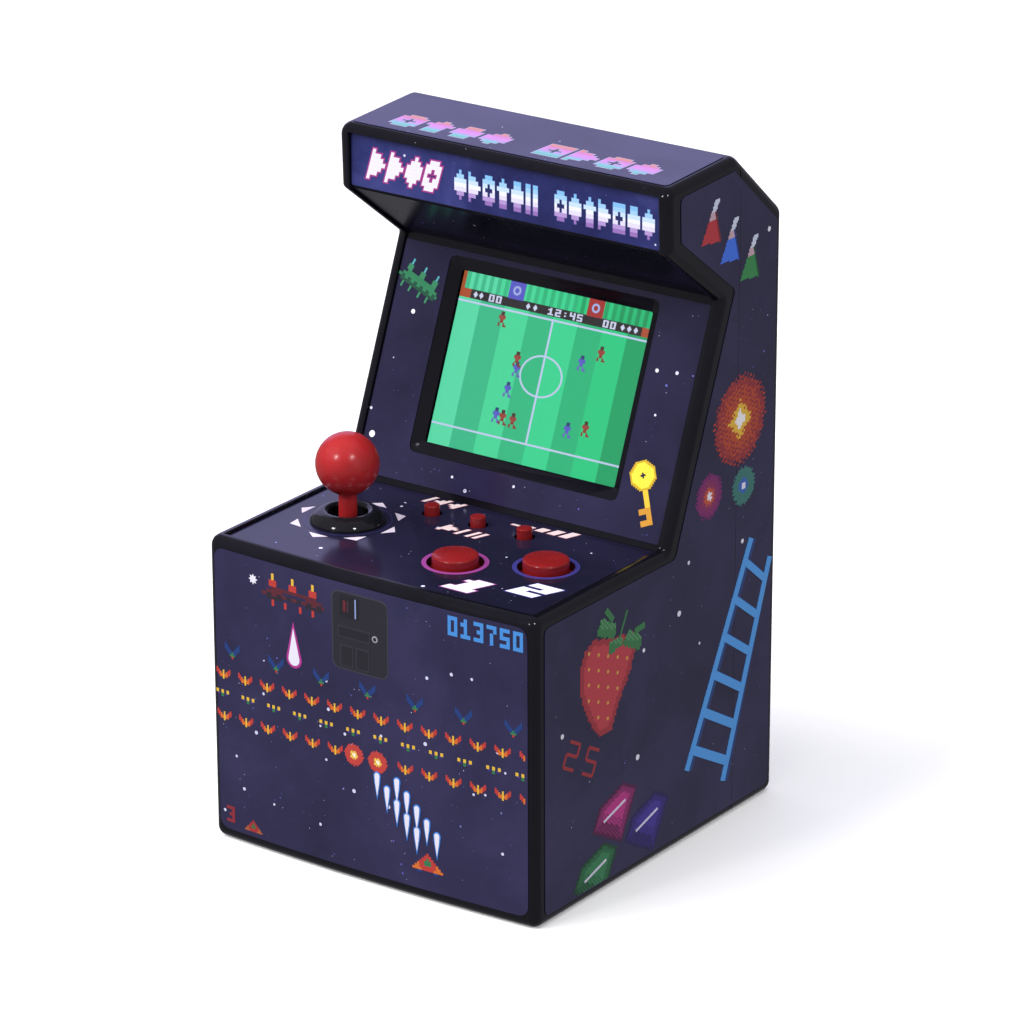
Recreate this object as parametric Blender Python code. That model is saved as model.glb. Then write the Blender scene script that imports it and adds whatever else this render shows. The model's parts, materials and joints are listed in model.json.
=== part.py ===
"""Palm-sized bartop arcade cabinet, modelled as the separate pieces that it is made of.

Lengths below are in millimetres and become metres where a mesh is made. +Z is up, the player
sits at -Y, and +X is the player's right. The origin is at the middle of the footprint.
"""

from math import atan2, cos, pi, radians, sin, sqrt, tan

import bmesh
import bpy

MM = 0.001

# Casing: the outline of its sides as (y, z) corners, walked from the front foot over the deck,
# up the screen panel, out under the hood, and down the back. Each corner has its own radius.
WIDTH = 90.5
FOOT_FRONT = (-47.25, 0.0)
DECK_FRONT = (-47.75, 74.4)
DECK_BACK = (3.25, 74.4)
HOOD_INNER = (24.55, 127.4)
HOOD_LIP = (3.05, 143.6)
MARQUEE_TOP = (2.45, 158.85)
ROOF_BACK = (30.15, 160.0)
SLOPE_FOOT = (49.4, 143.1)
FOOT_BACK = (49.4, 0.0)
SIDE_OUTLINE = (
    FOOT_FRONT, DECK_FRONT, DECK_BACK, HOOD_INNER, HOOD_LIP,
    MARQUEE_TOP, ROOF_BACK, SLOPE_FOOT, FOOT_BACK,
)
SIDE_RADII = (2.6, 2.6, 0.8, 0.8, 1.4, 2.8, 2.8, 2.8, 2.6)
HALF_WIDTH = WIDTH / 2
FRONT_BOW = 1.5            # how far the front swells forward at the middle of its width
EDGE_RADIUS = 2.2          # rounding between the sides and everything that they meet
WALL = 2.2
PARTING_Y = 32.3           # plane where the front and rear shells meet
SEAM = 0.15                # half the gap between the two shells
GAP = 0.3                  # clearance between neighbouring pieces
FRONT_ZONE = -40.0         # the bow moves only what lies in front of this

# Sunken faces that carry the printed film, and the film itself.
RECESS = 0.85
RECESS_SIDE = 2.75
DECK_LIP = 3.1
MARQUEE_RECESS_TOP = 157.1
FILM = 0.12
FILM_GAP = 0.05
FILM_INSET = 0.25
SIDE_FILM_MARGINS = (3.2, 3.0, 4.3, 4.4, 4.7, 3.0, 3.2, 2.6, 2.5)   # one for each edge of the outline
FRONT_FILM_HALF = 43.2
FRONT_FILM_Z = (3.0, 72.1)
ROOF_FILM_HALF = 43.0
ROOF_FILM_Y = (5.2, 28.6)

# Screen, measured up the leaning panel from its foot and behind the plane of its rims.
LEAN = atan2(HOOD_INNER[0] - DECK_BACK[0], HOOD_INNER[1] - DECK_BACK[1])
SCREEN_MIDDLE = 31.3
SCREEN_HALF = (26.2, 20.0)
FRAME_HALF = (29.0, 23.1)
FRAME_CORNER = 1.6
OPENING_DEPTH = 3.2
BOSS_DEPTH = 4.1
BOSS_MARGIN = 2.6
TRAY_DEPTH = 6.1           # behind the panel's rims, like the depths of the boards behind the screen
TRAY_BACK = 8.1
MAIN_BOARD_DEPTH = 10.0

# Controls on the deck: (x, y) of each one's axis.
DECK_FLOOR = DECK_FRONT[1] - RECESS
DECK_UNDERSIDE = DECK_FRONT[1] - WALL
STICK = (-26.0, -20.55)
STICK_PIVOT_Z = 68.5
BALL_RADIUS = 7.4
BALL_Z = 87.4
SHAFT_RADIUS = 2.15
STICK_HOLE = 6.0
BEARING_RADIUS = 1.2
SWITCH_REACH = (4.6, 8.0)  # from the stick's axis to a direction switch's near and far side
SWITCH_HALF = 1.9
SWITCH_Z = (56.4, 60.4)
ACTION_BUTTONS = {"button_a": (9.4, -27.85), "button_b": (27.6, -18.55)}
ACTION_RADIUS = 5.3
ACTION_HOLE = 6.4
ACTION_TOP = 76.2
MENU_Y = -6.05
MENU_PITCH = 12.9
MENU_BUTTONS = {
    "reset_button": (-MENU_PITCH, MENU_Y),
    "start_button": (0.0, MENU_Y),
    "volume_button": (MENU_PITCH, MENU_Y),
}
MENU_RADIUS = 1.8
MENU_HOLE = 2.3
MENU_TOP = 76.0
BOARD_TOP = 66.0
BOARD_THICKNESS = 1.2
PILLAR_X = (-38.0, 38.0)   # pillars that hold the control board under the deck
PILLAR_Y = (-39.0, -3.5)
PILLAR_RADIUS = 2.2

# Back: battery bay and door, screws, switch and loudspeaker.
BAY_HALF_X = 29.2
BAY_Z = (14.4, 59.6)
BAY_FLOOR_Y = 32.2
BAY_WALL = 1.5
DOOR_HALF_X = 31.4
DOOR_Z = (12.0, 66.0)
DOOR_THICKNESS = 1.6
DOOR_SCREW_Z = 63.4
CELL_RADIUS = 7.1
CELL_LENGTH = 50.5
CELL_PITCH = 15.0
CELL_Y = 39.7
CELL_MIDDLE_Z = 37.0
CONTACT_X = 28.9
CASE_SCREWS = [(-39.8, 8.5), (39.8, 8.5), (-39.8, 136.0), (39.8, 136.0)]
SCREW_SEAT_Y = 38.0
FRONT_POST_RADIUS = 3.5
REAR_POST_RADIUS = 3.9
PILOT_RADIUS = 1.5
SHANK_CLEARANCE = 1.6
HEAD_CLEARANCE = 2.9
SWITCH = (-19.0, 77.0)
SWITCH_TRAVEL = 3.0
SPEAKER_Z = 106.0
SPEAKER_RADIUS = 13.0
GRILLE_PITCH = 3.9
GRILLE_HOLE = 1.3
GRILLE_RADIUS = 9.0
PAST = 5.0                 # how far a cutter runs on beyond what it cuts


# ---------------------------------------------------------------- plain geometry

def add(point, step, amount=1.0):
    return tuple(a + b * amount for a, b in zip(point, step))


def inset_outline(points, insets):
    """Moves each edge of a clockwise outline inwards; insets[k] belongs to the edge that leaves point k."""
    lines = []
    for k, start in enumerate(points):
        end = points[(k + 1) % len(points)]
        length = sqrt((end[0] - start[0]) ** 2 + (end[1] - start[1]) ** 2)
        along = ((end[0] - start[0]) / length, (end[1] - start[1]) / length)
        lines.append((add(start, (along[1], -along[0]), insets[k]), along))
    moved = []
    for k in range(len(points)):
        (p, d), (q, e) = lines[k - 1], lines[k]
        step = ((q[0] - p[0]) * e[1] - (q[1] - p[1]) * e[0]) / (d[0] * e[1] - d[1] * e[0])
        moved.append(add(p, d, step))
    return moved


def rounded(points, radii, steps=2):
    """Replaces each corner of an outline with an arc of steps + 1 points."""
    result = []
    for k, corner in enumerate(points):
        before, after = points[k - 1], points[(k + 1) % len(points)]
        a = atan2(before[1] - corner[1], before[0] - corner[0])
        b = atan2(after[1] - corner[1], after[0] - corner[0])
        half = ((b - a + pi) % (2 * pi) - pi) / 2
        reach = radii[k] / abs(sin(half))
        centre = add(corner, (cos(a + half), sin(a + half)), reach)
        sweep = (pi / 2 - abs(half)) * (1 if half > 0 else -1)
        for n in range(steps + 1):
            turn = a + half + pi + sweep * (1 - 2 * n / steps)
            result.append(add(centre, (cos(turn), sin(turn)), radii[k]))
    return result


def rectangle(half_x, half_y, radius, centre=(0.0, 0.0), steps=2):
    corners = [(-half_x, -half_y), (-half_x, half_y), (half_x, half_y), (half_x, -half_y)]
    return rounded([add(corner, centre) for corner in corners], [radius] * 4, steps)


def turn_angle(k, steps):
    """The first facet is turned a little, so that no corner falls on the object's middle plane."""
    return 2 * pi * (k + 0.37) / steps


def circle(centre, radius, steps):
    return [add(centre, (cos(turn_angle(k, steps)), sin(turn_angle(k, steps))), radius) for k in range(steps)]


def bow(x):
    return FRONT_BOW * max(0.0, 1 - (x / HALF_WIDTH) ** 2)


def bowed(points, x):
    """Pushes the front part of a (y, z) outline forward by the swell of the front at this x."""
    return [(y - bow(x) if y < FRONT_ZONE else y, z) for y, z in points]


def on_screen_panel(x, up, depth):
    """A point given across, up the leaning screen panel, and behind the plane of its rims."""
    y = DECK_BACK[0] + up * sin(LEAN) + depth * cos(LEAN)
    z = DECK_BACK[1] + up * cos(LEAN) - depth * sin(LEAN)
    return x, y, z


# ---------------------------------------------------------------- meshes and objects

def clear_scene():
    for item in list(bpy.data.objects):
        bpy.data.objects.remove(item, do_unlink=True)


def material(name, colour, roughness, metallic=0.0, alpha=1.0):
    made = bpy.data.materials.new(name)
    made.use_nodes = True
    shader = made.node_tree.nodes["Principled BSDF"]
    shader.inputs["Base Color"].default_value = (*colour, 1.0)
    shader.inputs["Roughness"].default_value = roughness
    shader.inputs["Metallic"].default_value = metallic
    shader.inputs["Alpha"].default_value = alpha
    made.diffuse_color = (*colour, alpha)
    return made


def make_object(name, shape, surface, origin=(0.0, 0.0, 0.0)):
    """Makes a named object from (vertices, faces) in millimetres, with its own origin."""
    vertices, faces = shape
    mesh = bpy.data.meshes.new(name)
    mesh.from_pydata([tuple((c - o) * MM for c, o in zip(v, origin)) for v in vertices], [], faces)
    work = bmesh.new()
    work.from_mesh(mesh)
    bmesh.ops.recalc_face_normals(work, faces=work.faces)
    work.to_mesh(mesh)
    work.free()
    mesh.shade_smooth()
    mesh.set_sharp_from_angle(angle=radians(35))
    made = bpy.data.objects.new(name, mesh)
    made.location = tuple(c * MM for c in origin)
    bpy.context.scene.collection.objects.link(made)
    if surface:
        mesh.materials.append(surface)
    return made


def loft(rings, closed=False):
    """Joins rings of equally many points with quads, and caps the ends or closes the loop."""
    count = len(rings[0])
    vertices = [point for ring in rings for point in ring]
    faces = []
    for row in range(len(rings) if closed else len(rings) - 1):
        low, high = row * count, (row + 1) % len(rings) * count
        for k in range(count):
            following = (k + 1) % count
            faces.append((low + k, low + following, high + following, high + k))
    if not closed:
        faces.append(tuple(reversed(range(count))))
        faces.append(tuple(range(len(vertices) - count, len(vertices))))
    return vertices, faces


def joined(*shapes):
    """Puts several shapes that don't touch into one mesh."""
    vertices, faces = [], []
    for more_vertices, more_faces in shapes:
        faces += [tuple(k + len(vertices) for k in face) for face in more_faces]
        vertices += more_vertices
    return vertices, faces


def box(low, high):
    ring = [(low[0], low[1]), (high[0], low[1]), (high[0], high[1]), (low[0], high[1])]
    return loft([[(x, y, z) for x, y in ring] for z in (low[2], high[2])])


def plate(outline, low, high):
    """A flat (x, y) outline with height from low to high."""
    return loft([[(x, y, z) for x, y in outline] for z in (low, high)])


def panel_plate(outline, low, high):
    """A plate in the screen panel's directions: (x, up) outline, depth from low to high."""
    return loft([[on_screen_panel(x, up, depth) for x, up in outline] for depth in (low, high)])


def turned(profile, centre, steps=24, axis="z"):
    """Turns (radius, height) points about an axis; a profile that starts and ends off the axis is a ring."""
    def place(radius, height, turn):
        a, b = radius * cos(turn), radius * sin(turn)
        local = {"x": (height, a, b), "y": (a, height, b), "z": (a, b, height)}[axis]
        return add(centre, local)

    if profile[0][0] > 0:
        rings = [[place(r, h, turn_angle(k, steps)) for r, h in profile] for k in range(steps)]
        return loft(rings, closed=True)
    middle = [[place(r, h, turn_angle(k, steps)) for k in range(steps)] for r, h in profile[1:-1]]
    vertices, faces = loft(middle)
    faces = faces[:-2]
    last = len(vertices) - steps
    vertices += [place(0, profile[0][1], 0), place(0, profile[-1][1], 0)]
    for k in range(steps):
        following = (k + 1) % steps
        faces.append((len(vertices) - 2, following, k))
        faces.append((len(vertices) - 1, last + k, last + following))
    return vertices, faces


def cylinder(start, length, radius, axis="z", steps=16):
    return turned([(0, 0), (radius, 0), (radius, length), (0, length)], start, steps, axis)


def arc_profile(radius, height, start, end, steps):
    """Points of a circle of this radius about (0, height), between two angles from the equator."""
    angles = [radians(start + (end - start) * k / steps) for k in range(steps + 1)]
    return [(radius * cos(a), height + radius * sin(a)) for a in angles]


def cutter(name, shape):
    made = make_object(name, shape, None)
    made.hide_render = True
    made.display_type = "WIRE"
    return made


def boolean(target, name, shape, operation="DIFFERENCE"):
    """Cuts a shape from the target, or joins it on, by an exact Boolean that stays on the object."""
    modifier = target.modifiers.new(name, "BOOLEAN")
    modifier.solver = "EXACT"
    modifier.operation = operation
    modifier.object = cutter(f"{target.name}_{name}", shape)


# ---------------------------------------------------------------- casing

def casing_outline(inset):
    radii = []
    for corner, radius in zip(SIDE_OUTLINE, SIDE_RADII):
        hollow_corner = corner in (DECK_BACK, HOOD_INNER)
        radii.append(radius + inset if hollow_corner else max(radius - inset, 0.3))
    return rounded(inset_outline(SIDE_OUTLINE, [inset] * len(SIDE_OUTLINE)), radii)


def across_positions(half, count=6):
    return [half * (2 * k / count - 1) for k in range(count + 1)]


def casing_solid():
    """The whole casing as one solid: its side outline carried across, with rounded edges at both sides."""
    stations = []
    for k in range(3):
        turn = radians(45 * k)
        stations.append((HALF_WIDTH - EDGE_RADIUS * (1 - cos(turn)), EDGE_RADIUS * (1 - sin(turn))))
    left = [(-x, inset) for x, inset in stations]
    middle = [(x, 0.0) for x in across_positions(HALF_WIDTH - EDGE_RADIUS)[1:-1]]
    right = list(reversed(stations))
    rings = [[(x, y, z) for y, z in bowed(casing_outline(inset), x)] for x, inset in left + middle + right]
    return loft(rings)


def casing_hollow():
    half = HALF_WIDTH - WALL
    rings = [[(x, y, z) for y, z in bowed(casing_outline(WALL), x)] for x in across_positions(half)]
    return loft(rings)


def film_recess():
    """The step down from the rims to the printed faces: deck, screen panel, hood underside and marquee."""
    floors = inset_outline(SIDE_OUTLINE, [RECESS] * len(SIDE_OUTLINE))
    lip_y = DECK_FRONT[0] + DECK_LIP
    clear_y, clear_z = -60.0, DECK_FRONT[1] + 6.0
    deck_back, hood_inner, hood_lip = floors[2:5]
    outline = [
        (lip_y, DECK_FLOOR), deck_back, hood_inner, hood_lip, (hood_lip[0], MARQUEE_RECESS_TOP),
        (clear_y, MARQUEE_RECESS_TOP), (clear_y, clear_z), (lip_y, clear_z),
    ]
    half = HALF_WIDTH - RECESS_SIDE
    rings = [[(x, y, z) for y, z in bowed(outline, x)] for x in across_positions(half)]
    return loft(rings)


def screen_frame_boss():
    outline = rectangle(FRAME_HALF[0] + BOSS_MARGIN, FRAME_HALF[1] + BOSS_MARGIN, 1.0, (0.0, SCREEN_MIDDLE))
    return panel_plate(outline, WALL - 0.8, BOSS_DEPTH)


def screen_opening():
    """A funnel from the panel's face down to the visible picture, then a rebate for the window."""
    middle = (0.0, SCREEN_MIDDLE)
    throat_half = (SCREEN_HALF[0] + 0.3, SCREEN_HALF[1] + 0.3)
    throat_depth = OPENING_DEPTH - 0.5
    flare = 1 + 1.0 / (throat_depth - RECESS)
    mouth_half = [inner + (outer - inner) * flare for inner, outer in zip(throat_half, FRAME_HALF)]
    mouth = rectangle(*mouth_half, FRAME_CORNER * 1.5, middle)
    throat = rectangle(*throat_half, 0.5, middle)
    rebate = rectangle(FRAME_HALF[0], FRAME_HALF[1], 0.8, middle)
    depths = [(mouth, RECESS - 1.0), (throat, throat_depth), (throat, OPENING_DEPTH)]
    depths += [(rebate, OPENING_DEPTH + 0.001), (rebate, BOSS_DEPTH + 2.0)]
    return loft([[on_screen_panel(x, up, depth) for x, up in ring] for ring, depth in depths])


def screw_post(x, z, start_y):
    return cylinder((x, start_y, z), PARTING_Y - SEAM - start_y, FRONT_POST_RADIUS, "y", 12)


def deck_holes(low, stick_margin, button_margin):
    """Cutters for the joystick and the buttons, each a little wider where a margin is given."""
    height = DECK_FRONT[1] + PAST - low
    holes = [cylinder((*STICK, low), height, STICK_HOLE + stick_margin, "z", 24)]
    for places, radius, steps in ((ACTION_BUTTONS, ACTION_HOLE, 24), (MENU_BUTTONS, MENU_HOLE, 12)):
        for place in places.values():
            holes.append(cylinder((*place, low), height, radius + button_margin, "z", steps))
    return holes


def make_front_shell(surface):
    shell = make_object("front_shell", casing_solid(), surface)
    boolean(shell, "hollow", casing_hollow())
    boolean(shell, "film_recess", film_recess())
    boolean(shell, "screen_boss", screen_frame_boss(), "UNION")
    posts = [screw_post(x, z, 12.0 if z < 50 else 20.0) for x, z in CASE_SCREWS]
    pillar_foot = BOARD_TOP + GAP
    pillar_height = DECK_UNDERSIDE + 0.5 - pillar_foot
    for x in PILLAR_X:
        posts += [cylinder((x, y, pillar_foot), pillar_height, PILLAR_RADIUS, "z", 12) for y in PILLAR_Y]
    holes = [cylinder((x, 20.0, z), 15.0, PILOT_RADIUS, "y", 10) for x, z in CASE_SCREWS]
    holes += deck_holes(DECK_UNDERSIDE - PAST, 0.0, 0.0)
    boolean(shell, "posts", joined(*posts), "UNION")
    boolean(shell, "holes", joined(*holes))
    boolean(shell, "screen_opening", screen_opening())
    boolean(shell, "rear_half", box((-60, PARTING_Y - SEAM, -10), (60, 80, 180)))
    return shell


def grille_holes():
    """Round holes on a triangular grid within the loudspeaker's circle."""
    holes = []
    for row in range(-3, 4):
        for column in range(-4, 5):
            x = (column + (row % 2) / 2) * GRILLE_PITCH
            z = row * GRILLE_PITCH * sqrt(3) / 2
            if sqrt(x * x + z * z) < GRILLE_RADIUS:
                holes.append(cylinder((x, 40.0, SPEAKER_Z + z), 15.0, GRILLE_HOLE, "y", 7))
    return holes


def make_rear_shell(surface):
    back = FOOT_BACK[0]
    shell = make_object("rear_shell", casing_solid(), surface)
    boolean(shell, "hollow", casing_hollow())
    boolean(shell, "front_half", box((-60, -80, -10), (60, PARTING_Y + SEAM, 180)))
    bay_low = (-BAY_HALF_X - BAY_WALL, BAY_FLOOR_Y - BAY_WALL, BAY_Z[0] - BAY_WALL)
    bay_high = (BAY_HALF_X + BAY_WALL, back - WALL + 0.6, BAY_Z[1] + BAY_WALL)
    boolean(shell, "bay_walls", box(bay_low, bay_high), "UNION")
    boolean(shell, "bay", box((-BAY_HALF_X, BAY_FLOOR_Y, BAY_Z[0]), (BAY_HALF_X, back + PAST, BAY_Z[1])))
    recess = rectangle(DOOR_HALF_X + GAP, (DOOR_Z[1] - DOOR_Z[0]) / 2 + GAP, 2.0, (0.0, sum(DOOR_Z) / 2))
    recess_y = back - DOOR_THICKNESS - 0.1
    boolean(shell, "door_recess", loft([[(x, y, z) for x, z in recess] for y in (recess_y, back + PAST)]))
    post_length = back - WALL + 0.6 - PARTING_Y - SEAM
    post_y = PARTING_Y + SEAM
    posts = [cylinder((x, post_y, z), post_length, REAR_POST_RADIUS, "y", 14) for x, z in CASE_SCREWS]
    posts.append(cylinder((0.0, 40.0, DOOR_SCREW_Z), 7.3, 2.4, "y", 12))
    boolean(shell, "posts", joined(*posts), "UNION")
    bores = [cylinder((x, 20.0, z), 40.0, SHANK_CLEARANCE, "y", 12) for x, z in CASE_SCREWS]
    bores.append(cylinder((0.0, 38.0, DOOR_SCREW_Z), 20.0, 1.3, "y", 10))
    boolean(shell, "screw_bores", joined(*bores))
    seats = [cylinder((x, SCREW_SEAT_Y, z), 20.0, HEAD_CLEARANCE, "y", 16) for x, z in CASE_SCREWS]
    boolean(shell, "screw_seats", joined(*seats))
    reach = SWITCH_TRAVEL / 2 + 2.3 + GAP
    slot = rectangle(reach, 1.9, 0.5, SWITCH)
    dish = rectangle(reach + 1.4, 3.2, 1.2, SWITCH)
    boolean(shell, "switch_dish", loft([[(x, y, z) for x, z in dish] for y in (back - 0.9, back + PAST)]))
    boolean(shell, "switch_slot", loft([[(x, y, z) for x, z in slot] for y in (back - 8, back + PAST)]))
    boolean(shell, "grille", joined(*grille_holes()))
    return shell


# ---------------------------------------------------------------- printed film

def film_on_side(name, sign, surface):
    """The film on one flat side, held back from every edge by its own margin."""
    outline = rounded(inset_outline(SIDE_OUTLINE, SIDE_FILM_MARGINS), [1.4] * len(SIDE_OUTLINE))
    inner = HALF_WIDTH + FILM_GAP
    rings = [[(sign * x, y, z) for y, z in outline] for x in (inner, inner + FILM)]
    make_object(name, loft(rings), surface)


def film_on_front(surface):
    """A sheet that follows the bowed front; its front face is bent about the same curve."""
    low, high = FRONT_FILM_Z
    lean = (DECK_FRONT[0] - FOOT_FRONT[0]) / (DECK_FRONT[1] - FOOT_FRONT[1])
    rings = []
    for x in front_film_stations(FRONT_FILM_HALF):
        near = FOOT_FRONT[0] - FILM_GAP - bow(x)
        corners = [(near + lean * low, low), (near + lean * high, high)]
        rings.append([(x, corners[0][0], corners[0][1]), (x, corners[1][0], corners[1][1]),
                      (x, corners[1][0] - FILM, corners[1][1]), (x, corners[0][0] - FILM, corners[0][1])])
    make_object("front_graphic", loft(rings), surface)


def front_film_stations(half):
    """The casing's own stations across the front, so the film's facets lie parallel to its facets."""
    inner = across_positions(HALF_WIDTH - EDGE_RADIUS)[1:-1]
    return [-half, *inner, half]


def film_on_deck(surface):
    half = HALF_WIDTH - RECESS_SIDE - FILM_INSET
    low = DECK_FLOOR + FILM_GAP
    front_y = DECK_FRONT[0] + DECK_LIP + FILM_INSET
    back_y = DECK_BACK[0] + RECESS * tan(LEAN / 2) - 0.4
    front_edge = [(x, front_y - bow(x)) for x in reversed(across_positions(half))]
    outline = [(-half, back_y), (half, back_y), *front_edge]
    deck = make_object("deck_graphic", plate(outline, low, low + FILM), surface)
    boolean(deck, "holes", joined(*deck_holes(low - PAST, 0.2, 0.1)))


def film_on_screen_panel(surface):
    half = HALF_WIDTH - RECESS_SIDE - FILM_INSET
    panel_length = sqrt((HOOD_INNER[0] - DECK_BACK[0]) ** 2 + (HOOD_INNER[1] - DECK_BACK[1]) ** 2)
    low, high = 0.9, panel_length - 1.2
    outline = rectangle(half, (high - low) / 2, 0.4, (0.0, (high + low) / 2))
    near = RECESS - FILM_GAP - FILM
    film = make_object("bezel_graphic", panel_plate(outline, near, near + FILM), surface)
    window = rectangle(FRAME_HALF[0] + 0.15, FRAME_HALF[1] + 0.15, FRAME_CORNER, (0.0, SCREEN_MIDDLE))
    boolean(film, "window", panel_plate(window, near - 2, near + 2))


def film_under_hood(surface):
    """The film on the sloping underside of the hood, between the two cheeks."""
    floors = inset_outline(SIDE_OUTLINE, [RECESS - FILM_GAP] * len(SIDE_OUTLINE))
    start, end = floors[3], floors[4]
    length = sqrt((end[0] - start[0]) ** 2 + (end[1] - start[1]) ** 2)
    along = ((end[0] - start[0]) / length, (end[1] - start[1]) / length)
    outward = (-along[1], along[0])
    low, high = add(start, along, 0.9), add(end, along, -0.5)
    ring = [low, high, add(high, outward, FILM), add(low, outward, FILM)]
    half = HALF_WIDTH - RECESS_SIDE - FILM_INSET
    make_object("hood_graphic", loft([[(x, y, z) for y, z in ring] for x in (-half, half)]), surface)


def film_on_marquee(surface):
    lip = inset_outline(SIDE_OUTLINE, [RECESS] * len(SIDE_OUTLINE))[4]
    half = HALF_WIDTH - RECESS_SIDE - FILM_INSET
    near = lip[0] - FILM_GAP
    low, high = lip[1] + 0.4, MARQUEE_RECESS_TOP - FILM_INSET
    outline = rectangle(half, (high - low) / 2, 0.4, (0.0, (high + low) / 2))
    rings = [[(x, y, z) for x, z in outline] for y in (near - FILM, near)]
    make_object("marquee_graphic", loft(rings), surface)


def film_on_roof(surface):
    """The film on the roof, which rises slightly towards the back."""
    rise = (ROOF_BACK[1] - MARQUEE_TOP[1]) / (ROOF_BACK[0] - MARQUEE_TOP[0])
    low_y, high_y = ROOF_FILM_Y
    outline = rectangle(ROOF_FILM_HALF, (high_y - low_y) / 2, 1.0, (0.0, (high_y + low_y) / 2))
    rings = []
    for lift in (FILM_GAP, FILM_GAP + FILM):
        rings.append([(x, y, MARQUEE_TOP[1] + rise * (y - MARQUEE_TOP[0]) + lift) for x, y in outline])
    make_object("top_graphic", loft(rings), surface)


# ---------------------------------------------------------------- screen and boards

def make_screen(glass, panel, metal, board, chip, ribbon):
    middle = (0.0, SCREEN_MIDDLE)
    window = rectangle(FRAME_HALF[0] - GAP, FRAME_HALF[1] - GAP, 0.6, middle)
    make_object("screen_window", panel_plate(window, OPENING_DEPTH + 0.1, OPENING_DEPTH + 0.7), glass)
    cell = rectangle(28.5, 22.6, 0.4, middle)
    make_object("lcd_panel", panel_plate(cell, BOSS_DEPTH + 0.3, BOSS_DEPTH + 1.7), panel)
    tray_shape = panel_plate(rectangle(29.2, 23.4, 0.8, middle), TRAY_DEPTH, TRAY_BACK)
    tray = make_object("lcd_backlight", tray_shape, metal)
    boolean(tray, "cup", panel_plate(rectangle(28.4, 22.6, 0.5, middle), TRAY_DEPTH - 1.1, TRAY_DEPTH + 0.5))
    board_back = MAIN_BOARD_DEPTH + BOARD_THICKNESS
    board_shape = panel_plate(rectangle(33.0, 24.5, 1.0, middle), MAIN_BOARD_DEPTH, board_back)
    make_object("main_board", board_shape, board)
    make_game_chip(board_back, chip)
    make_screen_ribbon(ribbon)


def make_game_chip(board_back, surface):
    """A blob of potting compound on the back of the main board."""
    rings = []
    for radius, height in ((6.4, 0.15), (6.0, 0.8), (4.4, 1.4), (2.0, 1.7)):
        outline = circle((4.0, SCREEN_MIDDLE), radius, 20)
        rings.append([on_screen_panel(x, up, board_back + height) for x, up in outline])
    make_object("game_chip", loft(rings), surface)


def make_screen_ribbon(surface):
    """A flat cable that leaves the panel's lower edge and turns back round the tray to the board."""
    outer = [(5.2, 8.2), (5.2, 5.2), (6.2, 3.9), (8.6, 3.9), (9.6, 5.0), (9.6, 9.5)]
    inner = [(5.45, 8.2), (5.45, 5.3), (6.3, 4.15), (8.5, 4.15), (9.35, 5.1), (9.35, 9.5)]
    section = outer + list(reversed(inner))
    rings = [[on_screen_panel(x, up, depth) for depth, up in section] for x in (-11.0, 11.0)]
    make_object("screen_ribbon", loft(rings), surface)


def make_control_board(surface):
    """The board under the deck, cut out around the joystick."""
    outline = rectangle(41.0, 21.2, 1.5, (0.0, -21.4))
    board = make_object("control_board", plate(outline, BOARD_TOP - BOARD_THICKNESS, BOARD_TOP), surface)
    boolean(board, "stick_cutout", cylinder((*STICK, BOARD_TOP - 5), 10.0, 11.2, "z", 32))


# ---------------------------------------------------------------- joystick

def make_stick(red, black):
    origin = (*STICK, STICK_PIVOT_Z)
    top = BALL_Z - 1.2
    bore = SHAFT_RADIUS + GAP
    mouth = BALL_Z - sqrt(BALL_RADIUS ** 2 - bore ** 2)
    ball = [(bore, top + GAP), (bore, mouth)]
    ball += arc_profile(BALL_RADIUS, BALL_Z, -69, 80, 9)
    ball += [(0, BALL_Z + BALL_RADIUS)]
    make_object("joystick_ball", turned([(0, top + GAP), *ball], (*STICK, 0), 24), red, origin)
    shaft = [
        (0, 56.9), (1.8, 56.9), (2.5, 57.6), (2.5, 59.4), (1.6, 60.4), (1.6, 66.2), (3.3, 66.9),
        (3.3, 70.1), (SHAFT_RADIUS, 71.4), (SHAFT_RADIUS, top), (0, top),
    ]
    stick = make_object("joystick_shaft", turned(shaft, (*STICK, 0), 20), red, origin)
    pin = cylinder((STICK[0] - 6.1, STICK[1], STICK_PIVOT_Z), 12.2, 0.8, "x", 10)
    boolean(stick, "cross_pin", pin, "UNION")
    yoke_ring = [(4.5, 67.0), (6.6, 67.0), (6.6, 70.0), (4.5, 70.0)]
    yoke = make_object("joystick_yoke", turned(yoke_ring, (*STICK, 0), 24), black, origin)
    for sign in (-1, 1):
        start = STICK[1] + 6.2 if sign > 0 else STICK[1] - 9.9
        trunnion = cylinder((STICK[0], start, STICK_PIVOT_Z), 3.7, 0.9, "y", 10)
        boolean(yoke, f"trunnion_{'back' if sign > 0 else 'front'}", trunnion, "UNION")
    pin_hole = cylinder((STICK[0] - 12, STICK[1], STICK_PIVOT_Z), 24.0, 1.1, "x", 10)
    boolean(yoke, "pin_hole", pin_hole)


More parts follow.
